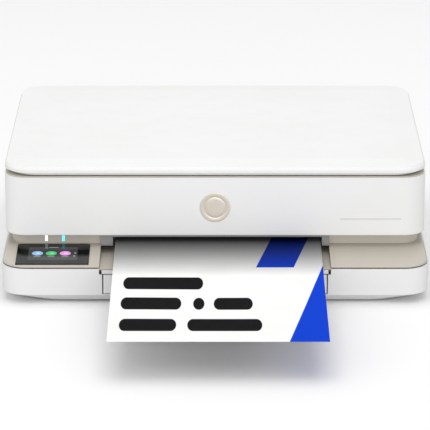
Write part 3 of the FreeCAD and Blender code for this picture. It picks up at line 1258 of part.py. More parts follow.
def make_lid_cover():
    body = new_body("lid_cover")
    x = SHELL_X
    y = (front("body_front - 0.4"), rear("body_rear_gap - 0.6"))
    chamfer = "lid_chamfer"
    drafted(body, "under_edge",
            (both(HALF + " - body_inset - lid_chamfer"),
             ("%s + lid_chamfer" % y[0], "%s - lid_chamfer" % y[1]), "lid_low",
             "lid_under_radius"),
            (x, y, "lid_low + " + chamfer, "lid_radius"))
    plate(body, "edge", x, y, ("lid_low + lid_chamfer", "lid_edge - lid_round"), "lid_radius")
    drafted(body, "upper_edge", (x, y, "lid_edge - lid_round", "lid_radius"),
            (both(HALF + " - body_inset - lid_round * 0.5"),
             ("%s + lid_round * 0.5" % y[0], "%s - lid_round * 0.5" % y[1]), "lid_edge",
             "lid_radius - lid_round * 0.5"))
    drafted(body, "crown",
            (both(HALF + " - body_inset - lid_round * 0.5"),
             ("%s + lid_round * 0.5" % y[0], "%s - lid_round * 0.5" % y[1]), "lid_edge",
             "lid_radius - lid_round * 0.5"),
            (both(HALF + " - body_inset - 26"), ("%s + 26" % y[0], "%s - 26" % y[1]), "lid_high",
             "6"))
    inside = "%s - body_inset - lid_rim" % HALF
    plate(body, "inside", both(inside), ("%s + lid_rim" % y[0], "%s - lid_rim" % y[1]),
          ("lid_low - 1", "lid_edge - lid_skin"), "lid_under_radius - 1.5", True)
    plate(body, "crown_hollow", both(HALF + " - body_inset - 30"),
          ("%s + 30" % y[0], "%s - 30" % y[1]), ("lid_edge - lid_skin - 0.1", "lid_high - lid_skin"),
          "6", True)
    for number, hand in enumerate((-1, 1)):
        box(body, "post_notch_%d" % number, around("%d * hinge_x" % hand, "8.5"),
            (rear("9"), rear("-1")), ("lid_low - 1", "lid_edge - lid_skin + 0.2"), True)
        for other, step in enumerate((-1, 1)):
            block = around("%d * hinge_x + %d * 12" % (hand, step), "3")
            box(body, "ear_%d_%d" % (number, other), block, (rear("8"), rear("1.6")),
                ("lid_low + 0.4", "lid_edge - lid_skin + 0.2"))
        rod(body, "pin_%d" % number, "x", (HINGE_Y, "lid_hinge_height"), "lid_pin",
            around("%d * hinge_x" % hand, "12"))


def make_lid_inside():
    body = new_body("lid_liner")
    y = (front("body_front + 4.4"), rear("body_rear_gap + 4.2"))
    plate(body, "board", both(HALF + " - body_inset - lid_rim - 0.3"), y,
          ("lid_low + 0.6", "lid_low + 2.2"), "lid_under_radius - 1.8")
    for number, hand in enumerate((-1, 1)):
        box(body, "hinge_gap_%d" % number, around("%d * hinge_x" % hand, "16"),
            (rear("14"), rear("0")), ("lid_low", "lid_low + 3"), True)
    for number in range(5):
        x = "(%d - 2) * 70" % number
        box(body, "rib_%d" % number, around(x, "0.8"), ("%s + 20" % y[0], "%s - 20" % y[1]),
            ("lid_low + 2.1", "lid_edge - lid_skin"))
    pad = new_body("lid_pad")
    plate(pad, "foam", both("window_half - 1"),
          (front("window_front + 1"), front("window_front + window_length - 1")),
          ("bezel_high - 1.4", "lid_low + 0.6"), "3")


def make_case_screws():
    body = new_body("case_screws")
    for hand in (-1, 1):
        for number, y in enumerate((front("30"), rear("25"))):
            name = "%s_%d" % ("left" if hand < 0 else "right", number)
            centre = ("%d * 123.5" % hand, y)
            rod(body, "head_" + name, "z", centre, "2.8", ("1.7", "3"))
            rod(body, "socket_" + name, "z", centre, "1.3", ("1", "2.3"), True)
            rod(body, "shank_" + name, "z", centre, "1.4", ("3", "board_low - 2"))


# ---------------------------------------------------------------- run, check, write

MAKERS = (
    make_base_housing, make_rubber_feet, make_case_screws, make_deck_housing, make_display_glass,
    make_status_lights, make_chassis_frame, make_carriage_rod, make_pinch_rollers,
    make_pinch_arm, make_star_wheels, make_exit_frame,
    make_platen, make_paper_guide, make_pick_arm, make_pick_roller,
    make_turn_roller, make_turn_guide, make_paper_gears, make_carriage, make_cartridges,
    make_latches, make_belt, make_pulleys, make_motors, make_service_station, make_power_supply,
    make_power_inlet, make_main_board, make_usb_port, make_rear_buttons, make_paper_tray,
    make_tray_front, make_width_guides, make_length_guide, make_output_extender,
    make_printed_sheet, make_body_shell, make_scanner_pan, make_scan_rod, make_scanner_bezel,
    make_platen_glass, make_scan_head, make_emblem_disc, make_hinge_knuckles, make_lid_cover,
    make_lid_inside,
)
for make in MAKERS:
    make()
doc.recompute()

for item in doc.Objects:
    if "Invalid" in item.State or "Error" in item.State:
        raise RuntimeError("%s did not recompute" % item.Name)
for part in parts:
    if part.Shape.isNull() or not part.Shape.isValid() or part.Shape.Volume <= 0:
        raise RuntimeError("%s has no sound shape" % part.Label)

os.makedirs("parts", exist_ok=True)
for part in parts:
    part.Shape.exportStep("parts/%s.step" % part.Label)
print("%d parts written" % len(parts))
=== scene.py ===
"""The looks of an all-in-one inkjet printer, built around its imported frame, in metres."""

import json
import math

import bpy
import numpy as np
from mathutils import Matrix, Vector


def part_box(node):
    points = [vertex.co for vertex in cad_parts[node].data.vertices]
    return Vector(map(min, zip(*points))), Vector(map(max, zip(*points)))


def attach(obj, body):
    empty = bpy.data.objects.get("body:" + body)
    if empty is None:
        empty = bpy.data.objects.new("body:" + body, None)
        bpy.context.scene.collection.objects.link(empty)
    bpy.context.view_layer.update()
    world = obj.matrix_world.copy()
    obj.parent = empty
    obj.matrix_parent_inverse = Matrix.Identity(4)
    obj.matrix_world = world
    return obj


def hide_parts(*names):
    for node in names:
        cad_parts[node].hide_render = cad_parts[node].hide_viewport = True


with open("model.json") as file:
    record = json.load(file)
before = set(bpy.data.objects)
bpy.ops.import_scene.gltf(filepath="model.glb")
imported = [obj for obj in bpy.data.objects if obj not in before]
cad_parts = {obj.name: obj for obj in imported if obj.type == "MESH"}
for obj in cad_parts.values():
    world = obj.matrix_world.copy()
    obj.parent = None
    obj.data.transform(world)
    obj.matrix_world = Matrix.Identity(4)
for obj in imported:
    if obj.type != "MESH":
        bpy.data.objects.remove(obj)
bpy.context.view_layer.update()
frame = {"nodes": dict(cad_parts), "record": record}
nodes = frame["nodes"]

MM = 0.001
CREASE = math.radians(32)
RING_STEPS = 12
SHEET_THICK = 0.1 * MM
SEAM = 1.0 * MM

# dark strip between base and deck: painted shade standing in for the seam gap's shadow
SHADOW_STRIP_IN = 2.35 * MM
SHADOW_STRIP_HALF_WIDE = 1.2 * MM
SHADOW_STRIP_SLACK = 0.02 * MM
PLAN_RADIUS = 26.0 * MM
MOUTH_MARGIN = 5.0 * MM

# touch panel
PANEL_SLOPE = math.radians(6.69)
PANEL_HALF = (37.0 * MM, 24.5 * MM)
PANEL_RADIUS = 3.0 * MM
PANEL_HALF_THICK = 1.0 * MM
PANEL_SOFT = 0.5 * MM

# printed sheet
SLOT_SHARE = 0.3
SHEET_BOW = 1.1 * MM
BAR_END = 0.026
BAR_SQUASH = 0.5

# toothed belt
TOOTH_PITCH = 2.0 * MM
TOOTH_ROOT = 0.6 * MM
TOOTH_TIP = 1.2 * MM

# fine line and size ticks
LINE_ENDS = (128.0 * MM, 190.0 * MM)
LINE_HEIGHT = 74.5 * MM
TICK_STEP = 10.0 * MM
TICK_OUT = 3.5 * MM
TICK_LONG = 1.4 * MM
TICK_WIDE = 0.25 * MM

# studio
EYE = (0.0, -2.903, 0.979)
LOOK_DOWN = math.radians(18)
LENS = 239.1
SENSOR = 36.0
SKY = 0.71
FLOOR_REACH = 14.0


# ---------------------------------------------------------------- node trees

def add(tree, kind, inputs=(), **settings):
    """One shader node: settings are its own properties, inputs are numbers or sockets to join."""
    node = tree.nodes.new(kind)
    for key, value in settings.items():
        setattr(node, key, value)
    for key, value in dict(inputs).items():
        socket = node.inputs[key]
        if isinstance(value, bpy.types.NodeSocket):
            tree.links.new(value, socket)
        else:
            socket.default_value = value
    return node


def calc(tree, operation, a, b=0.5, c=0.5, clamp=False):
    """One Math node, and its result."""
    return add(tree, "ShaderNodeMath", {0: a, 1: b, 2: c}, operation=operation,
               use_clamp=clamp).outputs[0]


def blend_colour(tree, share, a, b):
    """Colour a where share is 0, colour b where it is 1."""
    node = tree.nodes.new("ShaderNodeMix")
    node.data_type = "RGBA"
    sockets = [s for s in node.inputs if s.type == "RGBA"]
    for socket, value in zip(sockets, (a, b)):
        if isinstance(value, bpy.types.NodeSocket):
            tree.links.new(value, socket)
        else:
            socket.default_value = (*value[:3], 1)
    tree.links.new(share, node.inputs[0])
    return [s for s in node.outputs if s.type == "RGBA"][0]


def ramp(tree, value, low, high, to_low=0.0, to_high=1.0):
    """value spread smoothly from low..high to to_low..to_high."""
    node = add(tree, "ShaderNodeMapRange", {"Value": value, "From Min": low, "From Max": high,
                                            "To Min": to_low, "To Max": to_high},
               interpolation_type="SMOOTHSTEP")
    return node.outputs["Result"]


def group(name, inputs, outputs):
    """An empty shader node group, and the nodes at its two ends."""
    tree = bpy.data.node_groups.new(name, "ShaderNodeTree")
    for label, kind, value in inputs:
        socket = tree.interface.new_socket(label, in_out="INPUT", socket_type="NodeSocket" + kind)
        socket.default_value = value
    for label, kind in outputs:
        tree.interface.new_socket(label, in_out="OUTPUT", socket_type="NodeSocket" + kind)
    return tree, tree.nodes.new("NodeGroupInput").outputs, tree.nodes.new("NodeGroupOutput").inputs


def object_place(tree):
    """The place on the part, in metres from the origin."""
    return tree.nodes.new("ShaderNodeTexCoord").outputs["Object"]


def moulded_grain_group():
    """Spark-eroded mould texture: small cells over softer waves, and a slow change of gloss."""
    tree, given, result = group("moulded grain", [("Cells", "Float", 1800.0)],
                                [("Height", "Float"), ("Gloss", "Float")])
    place = object_place(tree)
    cells = add(tree, "ShaderNodeTexVoronoi", {"Vector": place, "Scale": given["Cells"]})
    waves = add(tree, "ShaderNodeTexNoise",
                {"Vector": place, "Scale": calc(tree, "MULTIPLY", given["Cells"], 0.35),
                 "Detail": 3.0})
    slow = add(tree, "ShaderNodeTexNoise", {"Vector": place, "Scale": 14.0, "Detail": 4.0})
    both = calc(tree, "ADD", calc(tree, "MULTIPLY", cells.outputs["Distance"], 0.5),
                waves.outputs[0])
    tree.links.new(both, result["Height"])
    tree.links.new(ramp(tree, slow.outputs[0], 0.3, 0.7), result["Gloss"])
    return tree


def rubbed_edge_group():
    """Corners rounded by handling: the rounded normal, and a broken mask along each edge."""
    tree, given, result = group("rubbed edge", [("Radius", "Float", 0.0006)],
                                [("Normal", "Vector"), ("Mask", "Float")])
    soft = add(tree, "ShaderNodeBevel", {"Radius": given["Radius"]}, samples=4)
    flat = tree.nodes.new("ShaderNodeNewGeometry")
    turn = add(tree, "ShaderNodeVectorMath",
               {0: soft.outputs["Normal"], 1: flat.outputs["Normal"]}, operation="DOT_PRODUCT")
    spots = add(tree, "ShaderNodeTexNoise",
                {"Vector": object_place(tree), "Scale": 220.0, "Detail": 5.0})
    edge = ramp(tree, turn.outputs["Value"], 0.995, 0.85)
    broken = ramp(tree, spots.outputs[0], 0.35, 0.62)
    tree.links.new(soft.outputs["Normal"], result["Normal"])
    tree.links.new(calc(tree, "MULTIPLY", edge, broken), result["Mask"])
    return tree


def settled_dust_group():
    """Fine dust that lies on what faces up, thicker in soft patches."""
    tree, _, result = group("settled dust", [], [("Mask", "Float")])
    facing = add(tree, "ShaderNodeSeparateXYZ",
                 {0: tree.nodes.new("ShaderNodeNewGeometry").outputs["Normal"]})
    patches = add(tree, "ShaderNodeTexNoise",
                  {"Vector": object_place(tree), "Scale": 38.0, "Detail": 6.0, "Roughness": 0.65})
    up = ramp(tree, facing.outputs["Z"], 0.55, 0.98)
    tree.links.new(calc(tree, "MULTIPLY", up, ramp(tree, patches.outputs[0], 0.42, 0.8)),
                   result["Mask"])
    return tree


def tone_drift_group():
    """A colour that drifts a little over the part, as a moulded resin does."""
    tree, given, result = group("tone drift",
                                [("Colour", "Color", (1, 1, 1, 1)), ("Drift", "Color", (1, 1, 1, 1)),
                                 ("Size", "Float", 9.0)], [("Colour", "Color")])
    clouds = add(tree, "ShaderNodeTexNoise",
                 {"Vector": object_place(tree), "Scale": given["Size"], "Detail": 5.0})
    share = ramp(tree, clouds.outputs[0], 0.3, 0.72)
    tree.links.new(blend_colour(tree, share, given["Colour"], given["Drift"]), result["Colour"])
    return tree


def drawn_line_group():
    """Fine parallel lines left by rolling or grinding, along whichever axis Stretch squeezes."""
    tree, given, result = group("drawn lines", [("Stretch", "Vector", (20.0, 2500.0, 2500.0))],
                                [("Height", "Float"), ("Shade", "Float")])
    place = add(tree, "ShaderNodeVectorMath", {0: object_place(tree), 1: given["Stretch"]},
                operation="MULTIPLY")
    lines = add(tree, "ShaderNodeTexNoise",
                {"Vector": place.outputs[0], "Scale": 1.0, "Detail": 4.0})
    tree.links.new(lines.outputs[0], result["Height"])
    tree.links.new(ramp(tree, lines.outputs[0], 0.35, 0.65), result["Shade"])
    return tree


def finger_smear_group():
    """Faint wiped smears on a glossy face, as a mask for its roughness."""
    tree, given, result = group("finger smear", [("Size", "Float", 60.0)], [("Mask", "Float")])
    place = add(tree, "ShaderNodeMapping", {"Vector": object_place(tree),
                                            "Rotation": (0.3, 0.2, 0.7), "Scale": (1.0, 2.6, 1.8)})
    smear = add(tree, "ShaderNodeTexNoise",
                {"Vector": place.outputs[0], "Scale": given["Size"], "Detail": 6.0,
                 "Distortion": 1.4})
    tree.links.new(ramp(tree, smear.outputs[0], 0.5, 0.78), result["Mask"])
    return tree


GRAIN = moulded_grain_group()
EDGE = rubbed_edge_group()
DUST = settled_dust_group()
DRIFT = tone_drift_group()
LINES = drawn_line_group()
SMEAR = finger_smear_group()


def place_group(tree, group_tree, inputs=()):
    """One placed group, and its outputs."""
    node = tree.nodes.new("ShaderNodeGroup")
    node.node_tree = group_tree
    for key, value in dict(inputs).items():
        socket = node.inputs[key]
        if isinstance(value, bpy.types.NodeSocket):
            tree.links.new(value, socket)
        elif len(np.shape(value)) and len(value) == 3 and socket.type == "RGBA":
            socket.default_value = (*value, 1)
        else:
            socket.default_value = value
    return node.outputs


def new_material(name):
    """An empty node material with one Principled shader, and that shader."""
    material = bpy.data.materials.new(name)
    material.use_nodes = True
    tree = material.node_tree
    tree.nodes.clear()
    shader = tree.nodes.new("ShaderNodeBsdfPrincipled")
    output = tree.nodes.new("ShaderNodeOutputMaterial")
    tree.links.new(shader.outputs[0], output.inputs["Surface"])
    return material, tree, shader


def shade(colour, factor):
    """A colour made darker or lighter, no brighter than white."""
    return tuple(min(1.0, c * factor) for c in colour)


def relief(tree, shader, height, normal, depth):
    """Bump of that real depth in metres over a normal, joined to the shader."""
    bump = add(tree, "ShaderNodeBump", {"Strength": 1.0, "Distance": depth, "Height": height,
                                        "Normal": normal})
    tree.links.new(bump.outputs[0], shader.inputs["Normal"])


def moulded(name, colour, rough, drift=None, cells=1500.0, depth=0.000006, radius=0.0006,
            worn=1.12, dust=0.25, patch=None):
    """Moulded plastic: drifting tone, dust on top, edges rubbed lighter, spark-eroded grain."""
    material, tree, shader = new_material(name)
    grain = place_group(tree, GRAIN, {"Cells": cells})
    edge = place_group(tree, EDGE, {"Radius": radius})
    base = place_group(tree, DRIFT, {"Colour": colour, "Drift": drift or shade(colour, 0.965)})
    tone = base["Colour"]
    if patch:
        tone = patch(tree, tone)
    tone = blend_colour(tree, calc(tree, "MULTIPLY", edge["Mask"], 0.5), tone,
                        shade(colour, worn))
    settled = place_group(tree, DUST)["Mask"]
    tone = blend_colour(tree, calc(tree, "MULTIPLY", settled, dust * 0.3), tone,
                        (0.62, 0.6, 0.57))
    tree.links.new(tone, shader.inputs["Base Color"])
    gloss = ramp(tree, grain["Gloss"], 0.0, 1.0, rough - 0.03, rough + 0.05)
    gloss = calc(tree, "ADD", gloss, calc(tree, "MULTIPLY", settled, 0.12), clamp=True)
    tree.links.new(gloss, shader.inputs["Roughness"])
    shader.inputs["IOR"].default_value = 1.49
    relief(tree, shader, grain["Height"], edge["Normal"], depth)
    return material


def metal(name, colour, rough, stretch=(25.0, 2200.0, 2200.0), radius=0.0003):
    """Plated or ground metal: drawn lines in colour, gloss and relief, with rubbed edges."""
    material, tree, shader = new_material(name)
    lines = place_group(tree, LINES, {"Stretch": stretch})
    edge = place_group(tree, EDGE, {"Radius": radius})
    tone = blend_colour(tree, lines["Shade"], shade(colour, 0.86), shade(colour, 1.06))
    tone = blend_colour(tree, calc(tree, "MULTIPLY", edge["Mask"], 0.6), tone, (0.86, 0.86, 0.85))
    tree.links.new(tone, shader.inputs["Base Color"])
    tree.links.new(ramp(tree, lines["Shade"], 0.0, 1.0, rough - 0.05, rough + 0.08),
                   shader.inputs["Roughness"])
    shader.inputs["Metallic"].default_value = 1.0
    relief(tree, shader, lines["Height"], edge["Normal"], 0.000004)
    return material


def glass(name, colour):
    """Clear glass with faint smears in its gloss."""
    material, tree, shader = new_material(name)
    smear = place_group(tree, SMEAR, {"Size": 40.0})
    edge = place_group(tree, EDGE, {"Radius": 0.0004})
    shader.inputs["Base Color"].default_value = (*colour, 1)
    shader.inputs["Transmission Weight"].default_value = 1.0
    shader.inputs["IOR"].default_value = 1.52
    tree.links.new(ramp(tree, smear["Mask"], 0.0, 1.0, 0.02, 0.1),
                   shader.inputs["Roughness"])
    relief(tree, shader, smear["Mask"], edge["Normal"], 0.000001)
    return material


def along(tree, axis):
    """One coordinate of the place on the part, in metres."""
    return add(tree, "ShaderNodeSeparateXYZ", {0: object_place(tree)}).outputs[axis]


def between(tree, value, low, high, soft=0.0001):
    """1 where value lies from low to high, 0 elsewhere, with soft ends."""
    rise = ramp(tree, value, low - soft, low + soft)
    fall = ramp(tree, value, high - soft, high + soft, 1.0, 0.0)
    return calc(tree, "MULTIPLY", rise, fall)


# ---------------------------------------------------------------- finishes

CYAN_LIGHT = (0.0, 0.72, 0.95)
WHITE_LIGHT = (0.92, 0.97, 1.0)
LIGHTS_MEET = -0.1643


def lit_window():
    """Two light pipes in one moulding: white on one side of where they meet, cyan on the other."""
    material, tree, shader = new_material("lit_window")
    side = ramp(tree, along(tree, "X"), LIGHTS_MEET - 0.001, LIGHTS_MEET + 0.001)
    glow = blend_colour(tree, side, WHITE_LIGHT, CYAN_LIGHT)
    frost = place_group(tree, GRAIN, {"Cells": 2600.0})
    edge = place_group(tree, EDGE, {"Radius": 0.0003})
    tree.links.new(blend_colour(tree, ramp(tree, frost["Gloss"], 0.0, 1.0, 0.0, 0.15), glow,
                                (0.8, 0.9, 0.95)), shader.inputs["Base Color"])
    tree.links.new(blend_colour(tree, ramp(tree, frost["Height"], 0.3, 0.9, 0.0, 0.25), glow,
                                shade(WHITE_LIGHT, 0.8)), shader.inputs["Emission Color"])
    shader.inputs["Emission Strength"].default_value = 1.1
    tree.links.new(ramp(tree, frost["Gloss"], 0.0, 1.0, 0.18, 0.3), shader.inputs["Roughness"])
    relief(tree, shader, frost["Height"], edge["Normal"], 0.000004)
    return material


def cartridge_labels(tree, tone):
    """Plain colour bands across each cartridge's top: three inks on one, black on the other."""
    x, z = along(tree, "X"), along(tree, "Z")
    for low, high, ink in ((0.1365, 0.1415, (0.0, 0.45, 0.75)), (0.1421, 0.1474, (0.75, 0.05, 0.3)),
                           (0.148, 0.153, (0.95, 0.75, 0.03)), (0.161, 0.1775, (0.02, 0.02, 0.02))):
        band = calc(tree, "MULTIPLY", between(tree, x, low, high), between(tree, z, 0.068, 0.083))
        tone = blend_colour(tree, band, tone, ink)
    return tone


def circuit_tracks(tree, tone):
    """Paler copper tracks under the mask, as thin lines of an irregular brick pattern."""
    tracks = add(tree, "ShaderNodeTexBrick",
                 {"Vector": object_place(tree), "Scale": 260.0, "Mortar Size": 0.02,
                  "Color1": (0, 0, 0, 1), "Color2": (0, 0, 0, 1), "Mortar": (1, 1, 1, 1)})
    return blend_colour(tree, tracks.outputs[0], tone, (0.16, 0.42, 0.2))


def woven_foam(name, colour):
    """Foam with a smooth white film: small pores and a soft sheen."""
    material, tree, shader = new_material(name)
    grain = place_group(tree, GRAIN, {"Cells": 700.0})
    edge = place_group(tree, EDGE, {"Radius": 0.0012})
    base = place_group(tree, DRIFT, {"Colour": colour, "Drift": shade(colour, 0.93), "Size": 16.0})
    tree.links.new(base["Colour"], shader.inputs["Base Color"])
    tree.links.new(ramp(tree, grain["Height"], 0.2, 1.0, 0.7, 0.95), shader.inputs["Roughness"])
    shader.inputs["Sheen Weight"].default_value = 0.15
    relief(tree, shader, grain["Height"], edge["Normal"], 0.00004)
    return material


FINISH = {
    "white_shell": moulded("white_satin", (0.88, 0.883, 0.88), 0.38, (0.866, 0.867, 0.858)),
    "warm_shell": moulded("champagne_satin", (0.56, 0.52, 0.455), 0.34, (0.545, 0.503, 0.435)),
    "grey_plastic": moulded("grey_satin", (0.3, 0.3, 0.3), 0.42),
    "black_plastic": moulded("black_satin", (0.022, 0.022, 0.024), 0.4, worn=3.0, dust=0.5),
    "tray_plastic": moulded("tray_grain", (0.2, 0.2, 0.205), 0.5, cells=900.0, depth=0.00001),
    "light_lens": lit_window(),
    "soft_rubber": moulded("rubber_matt", (0.04, 0.04, 0.042), 0.8, cells=1100.0, depth=0.00002,
                           radius=0.0009, worn=1.8, dust=0.8),
    "steel_sheet": metal("zinc_sheet", (0.55, 0.56, 0.57), 0.38),
    "bright_steel": metal("ground_steel", (0.66, 0.66, 0.67), 0.18, (2500.0, 40.0, 40.0)),
    "motor_can": metal("plated_can", (0.42, 0.42, 0.43), 0.3),
    "gear_plastic": moulded("acetal", (0.72, 0.7, 0.64), 0.35, radius=0.0002, worn=1.05),
    "green_board": moulded("solder_mask", (0.02, 0.16, 0.06), 0.25, patch=circuit_tracks),
    "clear_glass": glass("bed_glass", (0.86, 0.93, 0.91)),
    "lens_glass": glass("lens_glass", (0.7, 0.8, 0.85)),
    "foam": woven_foam("film_foam", (0.88, 0.88, 0.86)),
}
INK_LABELS = moulded("cartridge_black", (0.03, 0.03, 0.032), 0.4, patch=cartridge_labels)
BELT_RUBBER = moulded("belt_rubber", (0.03, 0.03, 0.03), 0.7, cells=2400.0, depth=0.00001)
# painted shade: near-black finish for the strip that stands in for the seam gap's shadow
SHADOW_STRIP_BLACK = moulded("shadow_strip_black", (0.012, 0.011, 0.01), 0.75, cells=2000.0, worn=1.4)
OWN_FINISH = {"ink_cartridges": INK_LABELS, "output_extender": FINISH["white_shell"]}


# ---------------------------------------------------------------- pieces

def add_piece(name, points, faces, body, material, replaces=(), uv=None):
    """A mesh from arrays of points and faces, smooth but for creases, riding that CAD body."""
    mesh = bpy.data.meshes.new(name)
    mesh.from_pydata(np.asarray(points).tolist(), [], [list(f) for f in faces])
    if uv is not None:
        layer = mesh.uv_layers.new(name="flat")
        corners = np.zeros(len(mesh.loops), np.int32)
        mesh.loops.foreach_get("vertex_index", corners)
        layer.data.foreach_set("uv", np.asarray(uv, np.float32)[corners].ravel())
    mesh.polygons.foreach_set("use_smooth", np.ones(len(mesh.polygons), bool))
    mesh.set_sharp_from_angle(angle=CREASE)
    mesh.materials.append(material)
    mesh.validate()
    piece = bpy.data.objects.new(name, mesh)
    bpy.context.scene.collection.objects.link(piece)
    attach(piece, body)
    if replaces:
        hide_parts(*replaces)
    return piece


def ring_faces(rings, steps, closed=False):
    """Quads between neighbouring rings of a grid whose rows close on themselves."""
    rows = np.arange(rings if closed else rings - 1)[:, None]
    cols = np.arange(steps)[None, :]
    here, beside = rows * steps, ((rows + 1) % rings) * steps
    after = (cols + 1) % steps
    quads = np.stack([here + cols, here + after, beside + after, beside + cols], -1)
    return quads.reshape(-1, 4)


def cap_fan(ring, steps, pole, facing_up):
    """Triangles from one ring to the pole that closes it."""
    here = ring * steps + np.arange(steps)
    after = ring * steps + (np.arange(steps) + 1) % steps
    fan = (np.full(steps, pole), here, after) if facing_up else (np.full(steps, pole), after, here)
    return np.stack(fan, -1)


def closed_rings(rings):
    """Points and faces of a stack of rings, lowest first, shut by a pole at each end."""
    rings = np.asarray(rings, float)
    count, steps, _ = rings.shape
    poles = np.stack([rings[0].mean(0), rings[-1].mean(0)])
    points = np.concatenate([rings.reshape(-1, 3), poles])
    faces = [*ring_faces(count, steps).tolist(),
             *cap_fan(0, steps, count * steps, False).tolist(),
             *cap_fan(count - 1, steps, count * steps + 1, True).tolist()]
    return points, faces


def round_plan(half_x, half_y, radius, steps=RING_STEPS):
    """Rounded rectangle: each corner's centre plus radius times (cos a, sin a), a over its quarter."""
    quarter = np.linspace(0, math.pi / 2, steps)
    angle = (quarter[None, :] + np.arange(4)[:, None] * math.pi / 2).ravel()
    across = np.repeat([1, -1, -1, 1], steps) * (half_x - radius)
    deep = np.repeat([1, 1, -1, -1], steps) * (half_y - radius)
    return np.stack([across + radius * np.cos(angle), deep + radius * np.sin(angle)], -1)


def slab_rings(half_x, half_y, radius, low, high, soft, steps=6):
    """Rounded slab: rings of round_plan drawn in by soft (1 - sin a) as the height leaves each face
    by soft (1 - cos a), and one ring near the middle of each face."""
    turn = np.linspace(0, math.pi / 2, steps)
    draw_in = soft * (1 - np.sin(turn))
    rise = soft * (1 - np.cos(turn))
    inset = np.concatenate([[radius * 0.9], draw_in, draw_in[::-1], [radius * 0.9]])
    height = np.concatenate([[low], low + rise, high - rise[::-1], [high]])
    return [np.column_stack([round_plan(half_x - i, half_y - i, max(radius - i, radius * 0.05)),
                             np.full(4 * RING_STEPS, h)]) for i, h in zip(inset, height)]


def middle(node):
    """The middle of a CAD node's box."""
    low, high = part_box(node)
    return (np.array(low) + np.array(high)) / 2


def screen_print():
    """Black glass with a lit area: three plain oval fields with a bar under each, a line near the
    top and small marks at the right, all from the panel's own flat map in metres."""
    material, tree, shader = new_material("touch_panel_black")
    flat = add(tree, "ShaderNodeUVMap", uv_map="flat").outputs[0]
    place = add(tree, "ShaderNodeSeparateXYZ", {0: flat})
    u, v = place.outputs["X"], place.outputs["Y"]

    def oval(centre, middle_v, wide, tall, soft=0.12):
        a = calc(tree, "DIVIDE", calc(tree, "SUBTRACT", u, centre), wide)
        b = calc(tree, "DIVIDE", calc(tree, "SUBTRACT", v, middle_v), tall)
        square = calc(tree, "ADD", calc(tree, "MULTIPLY", a, a), calc(tree, "MULTIPLY", b, b))
        return ramp(tree, square, 1.0 + soft, 1.0 - soft)

    def block(centre, middle_v, wide, tall):
        return calc(tree, "MULTIPLY", between(tree, u, centre - wide, centre + wide, 0.0002),
                    between(tree, v, middle_v - tall, middle_v + tall, 0.0002))

    lit_area = block(0.0, 0.0006, 0.0250, 0.0150)
    glow = blend_colour(tree, lit_area, (0.0, 0.0, 0.0), (0.045, 0.045, 0.047))
    for centre, ink in ((-0.0158, (0.33, 0.52, 0.83)), (-0.0017, (0.1, 0.56, 0.2)),
                        (0.0125, (0.83, 0.36, 0.78))):
        glow = blend_colour(tree, oval(centre, 0.001, 0.0056, 0.0051), glow, ink)
        glow = blend_colour(tree, oval(centre + 0.0006, 0.0012, 0.0022, 0.0021), glow,
                            shade(ink, 1.5))
        glow = blend_colour(tree, block(centre, -0.0066, 0.0034, 0.0007), glow, (0.3, 0.3, 0.3))
    glow = blend_colour(tree, block(0.0003, 0.0150, 0.0047, 0.0006), glow, (0.32, 0.32, 0.32))
    for centre, height in ((0.0226, 0.0018), (0.0219, -0.0052)):
        glow = blend_colour(tree, oval(centre, height, 0.0011, 0.0011), glow, (0.45, 0.45, 0.45))
    smear = place_group(tree, SMEAR, {"Size": 55.0})
    dust = place_group(tree, DUST)
    edge = place_group(tree, EDGE, {"Radius": 0.0003})
    base = blend_colour(tree, calc(tree, "MULTIPLY", dust["Mask"], 0.05), (0.008, 0.009, 0.009),
                        (0.5, 0.5, 0.48))
    tree.links.new(base, shader.inputs["Base Color"])
    tree.links.new(glow, shader.inputs["Emission Color"])
    shader.inputs["Emission Strength"].default_value = 1.0
    shader.inputs["Specular IOR Level"].default_value = 0.3
    tree.links.new(ramp(tree, smear["Mask"], 0.0, 1.0, 0.05, 0.16), shader.inputs["Roughness"])
    relief(tree, shader, smear["Mask"], edge["Normal"], 0.0000005)
    return material


def make_touch_panel():
    """The touch panel's glass: a rounded slab in its own slope, turned by the panel's angle."""
    rings = np.array(slab_rings(*PANEL_HALF, PANEL_RADIUS, -PANEL_HALF_THICK, PANEL_HALF_THICK,
                                PANEL_SOFT))
    points, faces = closed_rings(rings)
    flat = points[:, :2].copy()
    c, s = math.cos(PANEL_SLOPE), math.sin(PANEL_SLOPE)
    turned = np.column_stack([points[:, 0], points[:, 1] * c - points[:, 2] * s,
                              points[:, 1] * s + points[:, 2] * c])
    return add_piece("touch_panel", turned + middle("display_glass"), faces, "printer_case",
                     screen_print(), ["display_glass"], uv=flat)


def badge_metal():
    """Warm champagne metal with fine turned rings round the badge's axis."""
    material, tree, shader = new_material("badge_champagne")
    centre = middle("emblem_disc")
    shifted = add(tree, "ShaderNodeMapping", {"Vector": object_place(tree),
                                              "Location": tuple(-centre)})
    place = add(tree, "ShaderNodeSeparateXYZ", {0: shifted.outputs[0]})
    x, z = place.outputs["X"], place.outputs["Z"]
    radius = calc(tree, "SQRT", calc(tree, "ADD", calc(tree, "MULTIPLY", x, x),
                                     calc(tree, "MULTIPLY", z, z)))
    turned = add(tree, "ShaderNodeTexNoise", {"W": radius, "Scale": 2600.0, "Detail": 2.0},
                 noise_dimensions="1D").outputs[0]
    edge = place_group(tree, EDGE, {"Radius": 0.0002})
    tone = blend_colour(tree, ramp(tree, turned, 0.3, 0.7), (0.66, 0.595, 0.51),
                        (0.74, 0.68, 0.595))
    tree.links.new(tone, shader.inputs["Base Color"])
    tree.links.new(ramp(tree, turned, 0.3, 0.7, 0.3, 0.42), shader.inputs["Roughness"])
    shader.inputs["Metallic"].default_value = 0.35
    relief(tree, shader, turned, edge["Normal"], 0.000004)
    return material


